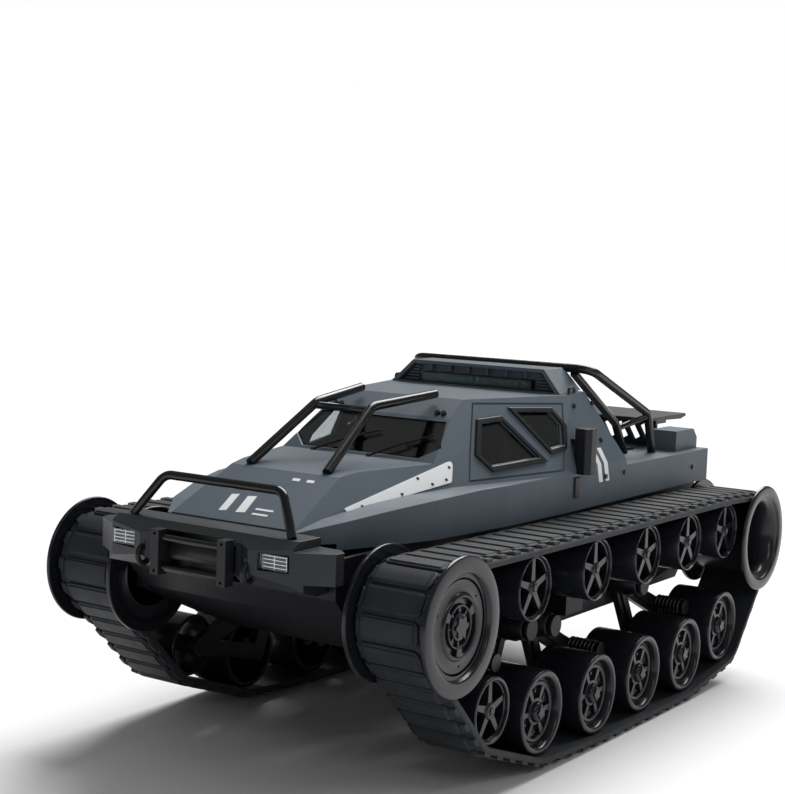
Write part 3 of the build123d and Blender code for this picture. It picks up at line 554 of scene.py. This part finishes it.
def bolts_on(radius, count, size, low, high, phase=0.0):
    """Ring of hexagonal heads about Y."""
    shape = Shape()
    for i in range(count):
        a = 2 * math.pi * i / count + phase
        shape.join(prism(hexagon(radius * math.cos(a), radius * math.sin(a), size), low, high))
    return shape


def spoke_ring(count, inner, outer, root_w, tip_w, low, high, phase=0.0):
    """Tapered radial spokes about Y."""
    shape = Shape()
    for i in range(count):
        a = 2 * math.pi * i / count + phase
        u, v = (math.cos(a), math.sin(a)), (-math.sin(a), math.cos(a))
        corners = [(inner, -root_w / 2), (outer, -tip_w / 2), (outer, tip_w / 2), (inner, root_w / 2)]
        shape.join(prism([(u[0] * r + v[0] * w, u[1] * r + v[1] * w) for r, w in corners], low, high))
    return shape


def drum_shape():
    """Front drum: two flanges, flat outer rim, recessed disc with a slotted hub."""
    y0, y1, rf, rt = FLANGE_IN, FLANGE_OUT, FRONT_FLANGE_R, FRONT_TREAD_R
    bore = DRUM_STUB_R + 0.05
    shape = lathe([
        (bore, y0 + 1), (bore, y1 - 9), (0, y1 - 9), (0, y1 - 1.2), (4.2, y1 - 1.2),
        (6.0, y1 - 1.8), (6.4, y1 - 3.4), (8.4, y1 - 3.6), (8.8, y1 - 1.9), (9.6, y1 - 1.7),
        (10.0, y1 - 3.4), (12.4, y1 - 3.4), (12.8, y1 - 1.5), (13.4, y1 - 1.1), (14.2, y1 - 1.3),
        (15.0, y1 - 2.3), (18.0, y1 - 2.9), (20.4, y1 - 2.6), (21.0, y1 - 3.6), (22.2, y1 - 3.6),
        (22.9, y1 - 2.8), (23.4, y1 - 0.6), (23.9, y1 - 0.1), (24.6, y1), (rf - 0.8, y1),
        (rf - 0.2, y1 - 0.2), (rf, y1 - 0.7), (rf, y1 - FLANGE_T + 0.4), (rf - 0.4, y1 - FLANGE_T),
        (rt, y1 - FLANGE_T), (rt, y0 + FLANGE_T), (rf - 0.3, y0 + FLANGE_T), (rf, y0 + FLANGE_T - 0.3),
        (rf, y0 + 0.4), (rf - 0.4, y0), (26.0, y0), (25.4, y0 + 0.8), (19.0, y0 + 0.8), (18.0, y0),
        (17.0, y1 - 6), (8.0, y1 - 8), (7.0, y0 + 1)], 128)
    shape.join(star(5.2, 3.7, 6, y1 - 2.4, y1 - 0.5))
    shape.join(spoke_ring(3, 9.4, 13.0, 3.6, 5.0, y1 - 3.8, y1 - 1.7, 0.5))
    shape.join(spoke_ring(8, 6.2, 8.9, 1.0, 1.3, y1 - 3.9, y1 - 2.3))
    shape.join(bolts_on(18.0, 3, 0.8, y1 - 3.2, y1 - 2.5, 0.4))
    return shape


def driver_shape():
    """Rear drive wheel: thick rim, deep dish with ribs and a bolted hub, and its shaft."""
    y0, y1, rf, rt = FLANGE_IN, FLANGE_OUT, REAR_FLANGE_R, REAR_TREAD_R
    shape = lathe([
        (0, 45.0), (DRUM_STUB_R, 45.0), (DRUM_STUB_R, y0 + 6), (7.0, y0 + 6), (8.0, y1 - 24),
        (19.0, y1 - 23), (19.4, y0), (rf - 0.4, y0), (rf, y0 + 0.4), (rf, y0 + FLANGE_T - 0.3),
        (rf - 0.3, y0 + FLANGE_T), (rt, y0 + FLANGE_T), (rt, y1 - FLANGE_T), (rf - 0.4, y1 - FLANGE_T),
        (rf, y1 - FLANGE_T + 0.4), (rf, y1 - 0.9), (rf - 0.3, y1 - 0.3), (rf - 0.9, y1), (25.6, y1),
        (24.9, y1 - 0.3), (24.4, y1 - 1.2), (22.6, y1 - 1.8), (21.6, y1 - 2.6), (20.4, y1 - 4.4),
        (18.9, y1 - 20), (17.6, y1 - 21), (8.8, y1 - 21.6), (7.4, y1 - 20.4), (6.4, y1 - 14),
        (5.4, y1 - 13), (0, y1 - 13)], 128)
    shape.join(spoke_ring(6, 7.0, 19.2, 2.4, 1.8, y1 - 21.8, y1 - 18.6))
    shape.join(bolts_on(12.6, 6, 1.4, y1 - 21.8, y1 - 19.6, math.pi / 6))
    shape.join(star(4.2, 3.0, 6, y1 - 13.4, y1 - 11.6))
    return shape


def road_wheel_shape():
    """Road wheel: wide tyre face, stepped dish with ribs, and a capped hub."""
    y0, y1, r, bore = WHEEL_IN, WHEEL_OUT, DISC_R, STUB_R + 0.05
    shape = lathe([
        (bore, y0 + 4), (bore, y1 - 5.4), (0, y1 - 5.4), (0, y1 - 0.9), (2.6, y1 - 1.0), (4.2, y1 - 1.5),
        (4.8, y1 - 2.4), (5.0, y1 - 3.6), (6.6, y1 - 3.8), (7.0, y1 - 5.6), (12.4, y1 - 5.2),
        (12.8, y1 - 3.4), (13.6, y1 - 3.0), (14.6, y1 - 3.2), (15.0, y1 - 4.2), (16.2, y1 - 4.1),
        (16.9, y1 - 1.4), (17.3, y1 - 0.5), (18.0, y1), (r - 1.0, y1), (r - 0.3, y1 - 0.3), (r, y1 - 1.0),
        (r, y0 + 1.0), (r - 0.3, y0 + 0.3), (r - 1.0, y0), (r - 3.0, y0), (r - 3.0, y1 - 9), (7.0, y1 - 11),
        (6.0, y0 + 4)], 96)
    shape.join(spoke_ring(6, 6.4, 13.0, 2.2, 3.2, y1 - 5.9, y1 - 3.5))
    shape.join(bolts_on(10.0, 6, 0.9, y1 - 5.8, y1 - 4.4, math.pi / 6))
    shape.join(star(3.4, 2.4, 5, y1 - 1.8, y1 - 0.3))
    return shape


def spoked_shape(radius, y0, y1, stub, rim_t, hub):
    """Open wheel: thin wide rim with a lip, five ribbed spokes and a capped hub."""
    bore, inner = stub + 0.05, radius - rim_t
    shape = lathe([(inner, y0), (radius - 0.4, y0), (radius, y0 + 0.4), (radius, y1 - 0.8),
                   (radius - 0.3, y1 - 0.2), (radius - 0.9, y1), (inner + 0.4, y1), (inner, y1 - 0.5),
                   (inner, y1 - 1.6), (inner - 0.7, y1 - 2.0), (inner - 0.7, y1 - 5.0),
                   (inner, y1 - 5.4)], 80)
    shape.join(lathe([(bore, y0 + 2), (hub, y0 + 2), (hub, y1 - 1.8), (hub - 0.6, y1 - 1.0),
                      (hub - 1.4, y1 - 0.7), (0, y1 - 0.4), (0, y1 - 2.6), (bore, y1 - 2.6)], 40))
    shape.join(spoke_ring(5, hub - 0.8, inner - 0.2, 3.6, 2.6, y1 - 4.6, y1 - 1.6, math.pi / 10))
    shape.join(spoke_ring(5, hub - 0.8, inner - 0.3, 1.2, 1.0, y1 - 6.4, y1 - 4.4, math.pi / 10))
    shape.join(star(2.0, 1.4, 6, y1 - 1.0, y1 - 0.05))
    return shape


def put_wheels(shape, names_spots, node_word):
    """Place one wheel shape on both sides at each (name, x, z)."""
    for side, sign in SIDES:
        twin = shape if sign > 0 else shape.mirrored()
        for name, x, z in names_spots:
            node = name.format(side=side)
            place(twin, f"{node_word}_{node}", ["wheel"], body=node, replaces=[node],
                  bevel=0.22, angle=40, at=Matrix.Translation((x * MM, 0, z * MM)))


put_wheels(drum_shape(), [("front_drum_{side}", *FRONT_AXLE)], "look")
put_wheels(driver_shape(), [("drive_wheel_{side}", *REAR_AXLE)], "look")
put_wheels(road_wheel_shape(), [("road_wheel_{side}_%d" % (i + 1), x, z)
                                for i, (x, z, r) in enumerate(ROAD_WHEELS) if r == DISC_R], "look")
put_wheels(spoked_shape(SMALL_R, WHEEL_IN, WHEEL_OUT, STUB_R, 2.0, 4.4),
           [("road_wheel_{side}_1", *ROAD_WHEELS[0][:2])], "look")
put_wheels(spoked_shape(ROLLER_R, ROLLER_IN, ROLLER_OUT, ROLLER_STUB_R, 1.4, 3.6),
           [("return_roller_{side}_%d" % (i + 1), x, roller_z(x)) for i, x in enumerate(ROLLER_X)], "look")


# ---------------------------------------------------------------- suspension
def bogie_shape(pivot, axles, post):
    """Cast swing arm with ribs, bosses and stubs (material 0) and its coil spring (material 1)."""
    shape = Shape()
    for axle in axles:
        shape.join(capsule(pivot, axle, 5.0, ARM_IN, ARM_OUT))
        shape.join(capsule(pivot, axle, 2.0, ARM_OUT - 0.2, ARM_OUT + 1.2))
        shape.join(lathe([(0, ARM_OUT - 1), (STUB_R, ARM_OUT - 1), (STUB_R, WHEEL_OUT - 5.8),
                          (STUB_R - 0.4, WHEEL_OUT - 5.5), (0, WHEEL_OUT - 5.5)], 32, (axle[0], 0, axle[1])))
    shape.join(capsule(axles[0], axles[1], 4.0, ARM_IN + 0.2, ARM_OUT - 0.2))
    shape.join(capsule(pivot, post, 3.6, ARM_IN + 0.1, ARM_OUT - 0.1))
    shape.join(lathe([(PIVOT_R + 0.05, ARM_IN), (7.0, ARM_IN), (7.0, 80.0), (6.2, 81.0),
                      (6.2, BOSS_OUT - 0.6), (5.6, BOSS_OUT), (PIVOT_R + 0.05, BOSS_OUT)],
                     48, (pivot[0], 0, pivot[1])))
    shape.join(lathe([(0, ARM_OUT - 1), (2.4, ARM_OUT - 1), (2.4, 89.0), (4.4, 89.2), (4.6, 89.8),
                      (4.4, 90.8), (0, 91.0)], 32, (post[0], 0, post[1])))
    coil = bar(helix(post, 73.6, 88.2, 4.1, 6.5), 0.95, 12)
    shape.join(coil, mat=1)
    return shape


for place_name, pivot, carried, post in BOGIES:
    arm = bogie_shape(pivot, [ROAD_WHEELS[i][:2] for i in carried], post)
    for side, sign in SIDES:
        place(arm if sign > 0 else arm.mirrored(), f"swing_arm_{side}_{place_name}", ["arm", "spring"],
              body=f"bogie_{side}_{place_name}",
              replaces=[f"bogie_{side}_{place_name}"], bevel=0.3, angle=45)


# ---------------------------------------------------------------- markings on the shell
WALL_TOP_Z = 135.07                      # where the leaning side behind the door meets the upright wall
MARK_T = 0.14


def side_strip(low, high, z_low, z_high):
    """Slanted strip on the side behind the door, from edges low to edges high (x pairs)."""
    levels = [z_low, WALL_TOP_Z, z_high]
    points, faces = [], []
    for lift in (0.03, 0.03 + MARK_T):
        for z in levels:
            t = (z - z_low) / (z_high - z_low)
            for k in (0, 1):
                points.append((low[k] + (high[k] - low[k]) * t, rear_y(z) + lift, z))
    n = 2 * len(levels)
    for r in range(len(levels) - 1):
        a = 2 * r
        faces += [(a, a + 1, a + 3, a + 2), (a + n, a + 2 + n, a + 3 + n, a + 1 + n),
                  (a, a + 2, a + 2 + n, a + n), (a + 1, a + 1 + n, a + 3 + n, a + 3)]
    faces += [(0, n, n + 1, 1), (n - 2, n - 1, 2 * n - 1, 2 * n - 2)]
    return Shape().add(points, faces)


NOSE_TOP, NOSE_FOOT = (147.0, 141.0), (185.6, 121.5)
NOSE_SLOPE = (NOSE_TOP[1] - NOSE_FOOT[1]) / (NOSE_FOOT[0] - NOSE_TOP[0])


def on_nose(x, y):
    """Point on the hood's front slope."""
    return (x, y, NOSE_TOP[1] - (x - NOSE_TOP[0]) * NOSE_SLOPE)


marks = Shape()
for outline in ([(168.1, -14.0), (167.4, -9.9), (179.3, -8.2), (180.0, -12.2)],
                [(168.0, -4.6), (167.3, 0.2), (178.9, 2.4), (179.6, -2.6)],
                [(175.0, 6.0), (175.0, 16.0), (176.2, 16.2), (176.2, 6.2)],
                [(178.4, 6.6), (178.4, 15.4), (179.6, 15.6), (179.6, 6.8)],
                [(151.6, 9.0), (151.6, 13.2), (153.4, 13.6), (153.4, 9.4)],
                [(151.6, 17.2), (151.6, 21.4), (153.4, 21.8), (153.4, 17.6)]):
    marks.join(plate([on_nose(*p) for p in outline], (NOSE_SLOPE, 0, 1), MARK_T))
strips = side_strip((-48.4, -44.0), (-42.6, -38.2), 125.0, 143.0)
strips.join(side_strip((-40.6, -36.2), (-34.8, -30.4), 125.0, 143.0))
marks.join(strips.both_sides())
place(marks, "white_marks", ["white"])

panel = rounded([(75.2, side_y(75.2, 144.6), 144.6), (83.6, side_y(83.6, 134.6), 134.6),
                 (152.0, side_y(152.0, 126.2), 126.2), (154.0, side_y(154.0, 128.0), 128.0)], 2.2)
side_out = (0.265, 1, 0.71)
badge = plate(panel, side_out, 0.5)
rivets = Shape()
for x, z in ((80.5, 141.2), (96.0, 134.6), (117.0, 131.6), (143.0, 128.2), (103.0, 137.6), (86.2, 136.0)):
    spot = np.array((x, side_y(x, z), z)) + 0.5 * np.array(side_out) / np.linalg.norm(side_out)
    turn = Vector((0, 1, 0)).rotation_difference(Vector(side_out)).to_matrix().to_4x4()
    rivets.join(lathe([(0, -0.1), (0.85, -0.1), (0.8, 0.25), (0.45, 0.45), (0, 0.5)], 20),
                Matrix.Translation(spot) @ turn)
place(badge.both_sides(), "side_panels", ["white"], bevel=0.12, angle=50)
place(rivets.both_sides(), "side_panel_rivets", ["screw"])


# ---------------------------------------------------------------- lamps
def lamp_bar():
    """Housing (0), reflector cells (1), diodes (2) and clear cover (3)."""
    back, front = -29.2, -24.6
    shape = Shape()
    shape.join(block((back, back + 1.2), (-35.1, 35.1), (172.2, 177.6)), mat=0)
    for z in ((172.2, 172.9), (176.9, 177.6)):
        shape.join(block((back, front - 0.5), (-35.1, 35.1), z), mat=0)
    for y in ((-35.1, -34.0), (34.0, 35.1)):
        shape.join(block((back, front - 0.5), y, (172.2, 177.6)), mat=0)
    count = 14
    step = 68.0 / count
    for i in range(count):
        y = -34.0 + step * (i + 0.5)
        ring = []
        for x, half_y, half_z in ((back + 1.3, 0.7, 0.6), (front - 1.6, step / 2 - 0.15, 1.95)):
            ring += [(x, y + sy * half_y, 174.9 + sz * half_z)
                     for sy, sz in ((-1, -1), (1, -1), (1, 1), (-1, 1))]
        ring += [(p[0] - 0.15, p[1], p[2]) for p in ring]
        faces = [(a, (a + 1) % 4, 4 + (a + 1) % 4, 4 + a) for a in range(4)]
        faces += [(8 + a, 12 + a, 12 + (a + 1) % 4, 8 + (a + 1) % 4) for a in range(4)]
        faces += [(a, 8 + a, 8 + (a + 1) % 4, (a + 1) % 4) for a in range(4)]
        faces += [(4 + a, 4 + (a + 1) % 4, 12 + (a + 1) % 4, 12 + a) for a in range(4)]
        shape.join(Shape().add(ring, faces), mat=1)
        shape.join(lathe([(0, -0.2), (0.9, -0.2), (0.7, 0.5), (0, 0.7)], 16),
                   Matrix.Translation((back + 1.4, y, 174.9)) @ Matrix.Rotation(-math.pi / 2, 4, "Z"), mat=2)
    shape.join(block((front - 0.45, front), (-35.0, 35.0), (172.3, 177.5)), mat=3)
    return shape


place(lamp_bar(), "lamp_bar", ["black", "reflector", "led", "bar_lens"],
      replaces=["light_bar"], bevel=0.12, angle=45)


def headlight():
    """Clear slatted lamp: housing (0), mirror slats (1) and cover (2), left-hand."""
    shape = Shape()
    shape.join(block((206.2, 206.8), (35.7, 50.1), (108.3, 115.1)), mat=0)
    for i in range(4):
        z = 109.0 + 1.62 * i
        slat = [(206.9, z), (208.7, z + 0.25), (208.7, z + 0.75), (206.9, z + 1.1)]
        shape.join(prism(slat, 36.4, 49.4), mat=1)
    for y in (36.0, 42.6, 49.2):
        shape.join(block((206.9, 208.6), (y, y + 0.6), (108.6, 114.8)), mat=1)
    shape.join(block((208.9, 209.4), (35.7, 50.1), (108.3, 115.1)), mat=2)
    return shape


place(headlight().both_sides(), "slatted_lamps", ["black", "reflector", "lens"],
      replaces=["headlights"], bevel=0.1, angle=45)


# ---------------------------------------------------------------- winch frame
def winch():
    """Posts with bolt heads, plate and arms (0), two rollers (1) and a drum (2)."""
    shape = Shape()
    for y in ((16.8, 21.6), (-21.6, -16.8)):
        shape.join(block((209.8, 215.7), y, (98.6, 119.0)))
        for z in (100.4, 117.2):
            shape.join(prism(hexagon((y[0] + y[1]) / 2, z, 0.9), 215.5, 215.7, "x"))
    shape.join(block((196.6, 199.0), (-21.9, 21.9), (99.6, 118.0)))
    for y in ((18.0, 20.6), (-20.6, -18.0)):
        shape.join(block((197.5, 211.0), y, (104.0, 113.6)))
    for z in (102.0, 115.4):
        shape.join(bar([(212.9, -17.4, z), (212.9, 17.4, z)], 1.5, 24), mat=1)
    shape.join(lathe([(0, -18.0), (4.2, -18.0), (4.4, -17.8), (4.4, 17.8), (4.2, 18.0), (0, 18.0)], 48,
                     (203.6, 0, 108.6)), mat=2)
    return shape


place(winch(), "winch_assembly", ["black", "tube", "cabin_dark"],
      replaces=["winch_frame"], bevel=0.35, angle=45)


# ---------------------------------------------------------------- cabin
def cabin():
    """Floor, dash, console (0), two shaped seats (1), steering wheel (0)."""
    shape = Shape()
    shape.join(block((-52, 92), (-34, 34), (118, 120)))
    dash = [(60, 119), (60, 133), (66, 139.5), (72, 141), (82, 140.6), (88, 138.5), (90, 119)]
    shape.join(prism(dash, -33, 33))
    shape.join(block((18, 60), (-4, 4), (119.5, 127)))
    shape.join(prism([(61, 134.4), (65.4, 139.0), (66.4, 138.6), (62, 134.0)], -26, -10), mat=2)
    seat = prism(rounded([(-8, 119), (-24, 152), (-18, 155), (-5, 131), (16, 129), (19, 119)], 3.0), 6, 28)
    bolster = rounded([(-7, 124), (-21.5, 151), (-15.5, 154), (-2.0, 133.5), (17, 131), (18, 126)], 2.5)
    for y in (7.5, 24.0):
        seat.join(prism(bolster, y, y + 2.6))
    seat.join(prism(rounded([(-23, 153.5), (-25.0, 162), (-18.4, 162.4), (-16, 154)], 2.0), 11, 23))
    seat.join(block((-21.5, -19.5), (14.0, 15.2), (150, 156)))
    seat.join(block((-21.5, -19.5), (18.8, 20.0), (150, 156)))
    shape.join(seat.both_sides(), mat=1)
    shape.join(bar([(64, 17, 134), (47, 17, 140.6)], 1.3, 14))
    lean = Vector((0, 1, 0)).rotation_difference(Vector((-18, 0, 7))).to_matrix().to_4x4()
    rim = [(8.0 * math.cos(2 * math.pi * i / 40), 0, 8.0 * math.sin(2 * math.pi * i / 40)) for i in range(40)]
    steer = bar(rim, 1.0, 12, closed=True)
    for a in (0.3, 2.84, 4.71):
        steer.join(bar([(0, 0, 0), (7.6 * math.cos(a), 0, 7.6 * math.sin(a))], 0.8, 10))
    steer.join(lathe([(0, -0.9), (2.0, -0.9), (2.0, 0.9), (0, 1.2)], 20))
    shape.join(steer, Matrix.Translation((46, 17, 141)) @ lean)
    return shape


place(cabin(), "cabin", ["cabin_dark", "cabin", "screw"], replaces=["cockpit"],
      bevel=0.4, angle=40)

# ---------------------------------------------------------------- small fittings on the shell
SCREEN_FOOT = (88.3, 143.5)
SCREEN_RUN, SCREEN_RISE = 25.3, 19.4


def on_screen(y, z):
    """Point on the windshield's plane."""
    return np.array((SCREEN_FOOT[0] - (z - SCREEN_FOOT[1]) * SCREEN_RUN / SCREEN_RISE, y, z))


fittings = Shape()
lift = np.array((SCREEN_RISE, 0, SCREEN_RUN)) / np.linalg.norm((SCREEN_RISE, 0, SCREEN_RUN))
for y_base, y_tip in ((8, 30), (-26, -2)):
    base, tip = on_screen(y_base, 143.2), on_screen(y_tip, 152.0)
    wiper = [base + lift * 0.9, base * 0.4 + tip * 0.6 + lift * 1.6, tip + lift * 1.0]
    fittings.join(bar(wiper, 0.55, 10))
    fittings.join(bar([base - lift * 0.2, base + lift * 1.5], 1.3, 16))
    blade_a, blade_b = tip + np.array((2.0, -7.0, -1.5)), tip + np.array((-3.4, 7.0, 2.6))
    fittings.join(bar([blade_a + lift * 0.8, blade_b + lift * 0.8], 0.5, 8))
bolt_out = np.array((0.6, 0, 0.8))
for sign in (1, -1):
    for y in (33.0, 29.4):
        spot = on_screen(y * sign, 165.0)
        fittings.join(bar([spot - 0.5 * bolt_out, spot + 0.9 * bolt_out], 1.5, 20))
    hook = [(-36.0, 55.4 * sign, 171.6), (-36.0, 55.4 * sign, 174.6), (-29.6, 55.4 * sign, 174.6),
            (-29.6, 55.4 * sign, 171.4)]
    fittings.join(bar(bent(hook, 1.4), 0.75, 12))
    fittings.join(block((-37.6, -28.0), tuple(sorted((53.8 * sign, 56.6 * sign))), (171.0, 171.9)))
place(fittings, "body_fittings", ["black"], bevel=0.15, angle=50)

# ---------------------------------------------------------------- finish of the CAD nodes that stay
NODE_LOOK = {
    "upper_shell": "shell", "lower_tub": "chassis", "window_glass": "glass", "door_frames": "black",
    "roof_pod": "shell", "windshield_guard": "tube", "roll_cage": "tube", "bumper": "bumper",
    "bull_bar": "tube", "tow_shackles": "black", "mirrors": "black", "engine_cover": "black",
    "rear_wing": "bumper",
    "battery_pack": "battery", "drive_motors": "motor", "gearboxes": "chassis", "control_board": "board",
    "body_screws": "screw", "battery_door": "chassis", "power_switch": "switch", "track_frames": "chassis"}
NODE_RADIUS = {"upper_shell": 0.35, "roof_pod": 0.35, "bumper": 0.45, "door_frames": 0.25, "mirrors": 0.7,
               "engine_cover": 0.4, "rear_wing": 0.35, "lower_tub": 0.5, "track_frames": 0.5,
               "battery_door": 0.3}
for name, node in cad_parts.items():
    if node.hide_render:
        continue
    node.data.materials.clear()
    node.data.materials.append(M[NODE_LOOK[name]])
    weld = node.modifiers.new("weld", "WELD")
    weld.merge_threshold = 1e-6
    if name in NODE_RADIUS:
        flat = node.modifiers.new("flat", "DECIMATE")
        flat.decimate_type = "DISSOLVE"
        flat.angle_limit = math.radians(0.6)
        round_edges(node, NODE_RADIUS[name], 24)

# ---------------------------------------------------------------- floor, light and camera
FLOOR_REACH = 40.0
SKY_SEEN, SKY_LIGHT = 1.0, 0.20          # brightness of the backdrop, and of the light that it gives
SUN_STRENGTH, SUN_SPREAD = 3.7, 44       # spread in degrees, for soft shadows
SUN_FROM = (-0.62, -0.10, 0.78)
floor_mesh = bpy.data.meshes.new("floor")
corners = ((-1, -1), (1, -1), (1, 1), (-1, 1))
floor_mesh.from_pydata([(sx * FLOOR_REACH, sy * FLOOR_REACH, 0) for sx, sy in corners], [], [(0, 1, 2, 3)])
floor = bpy.data.objects.new("floor", floor_mesh)
bpy.context.scene.collection.objects.link(floor)
floor_mesh.materials.append(finish_of("floor_paper", (0.93, 0.93, 0.935), 0.7, blotch=0.01, blotch_scale=2.0,
                                      grain=300, bump=0.02, specular=0.2))

world = bpy.data.worlds.new("studio")
bpy.context.scene.world = world
world.use_nodes = True
sky = world.node_tree.nodes["Background"]
sky.inputs["Color"].default_value = (1, 1, 1, 1)
ray = world.node_tree.nodes.new("ShaderNodeLightPath")
level = world.node_tree.nodes.new("ShaderNodeMapRange")
level.inputs["To Min"].default_value, level.inputs["To Max"].default_value = SKY_LIGHT, SKY_SEEN
world.node_tree.links.new(ray.outputs["Is Camera Ray"], level.inputs["Value"])
world.node_tree.links.new(level.outputs["Result"], sky.inputs["Strength"])

sun_data = bpy.data.lights.new("overhead", "SUN")
sun_data.energy, sun_data.angle = SUN_STRENGTH, math.radians(SUN_SPREAD)
sun = bpy.data.objects.new("overhead", sun_data)
sun.rotation_euler = Vector(SUN_FROM).to_track_quat("Z", "Y").to_euler()
bpy.context.scene.collection.objects.link(sun)


def area_light(name, spot, aim, size, power):
    """Soft rectangular light."""
    data = bpy.data.lights.new(name, "AREA")
    data.shape, data.size, data.size_y, data.energy = "RECTANGLE", size[0], size[1], power
    lamp = bpy.data.objects.new(name, data)
    lamp.location = spot
    lamp.rotation_euler = (Vector(aim) - Vector(spot)).to_track_quat("-Z", "Y").to_euler()
    bpy.context.scene.collection.objects.link(lamp)


area_light("key_light", (1.0, 1.1, 0.9), (0, 0, 0.08), (0.5, 0.35), 1.6)
area_light("strip_light", (0.2, 1.6, 1.3), (0, 0, 0.08), (1.2, 0.12), 3)

CAMERA_SPOT = (0.75185, 0.4582, 0.2466)
AZIMUTH, ELEVATION, ROLL = (math.radians(a) for a in (125.8475, 5.7441, 1.7936))
behind = Vector((math.sin(AZIMUTH) * math.cos(ELEVATION), -math.cos(AZIMUTH) * math.cos(ELEVATION),
                 math.sin(ELEVATION)))
right = Vector((0, 0, 1)).cross(behind).normalized()
up = behind.cross(right)
right_rolled = right * math.cos(ROLL) + up * math.sin(ROLL)
up_rolled = up * math.cos(ROLL) - right * math.sin(ROLL)
camera_data = bpy.data.cameras.new("camera")
camera = bpy.data.objects.new("camera", camera_data)
bpy.context.scene.collection.objects.link(camera)
camera.matrix_world = Matrix.Translation(CAMERA_SPOT) @ Matrix(
    (right_rolled, up_rolled, behind)).transposed().to_4x4()
IMAGE_W, IMAGE_H, FOCAL_PX, CENTRE_PX = 785, 794, 1631.08, (322.84, 409.33)
camera_data.sensor_width = 36.0
camera_data.lens = 36.0 * FOCAL_PX / IMAGE_H
camera_data.shift_x = (IMAGE_W / 2 - CENTRE_PX[0]) / IMAGE_H
camera_data.shift_y = (CENTRE_PX[1] - IMAGE_H / 2) / IMAGE_H
camera_data.clip_start, camera_data.clip_end = 0.02, 60
bpy.context.scene.camera = camera
bpy.context.scene.view_settings.view_transform = "Standard"
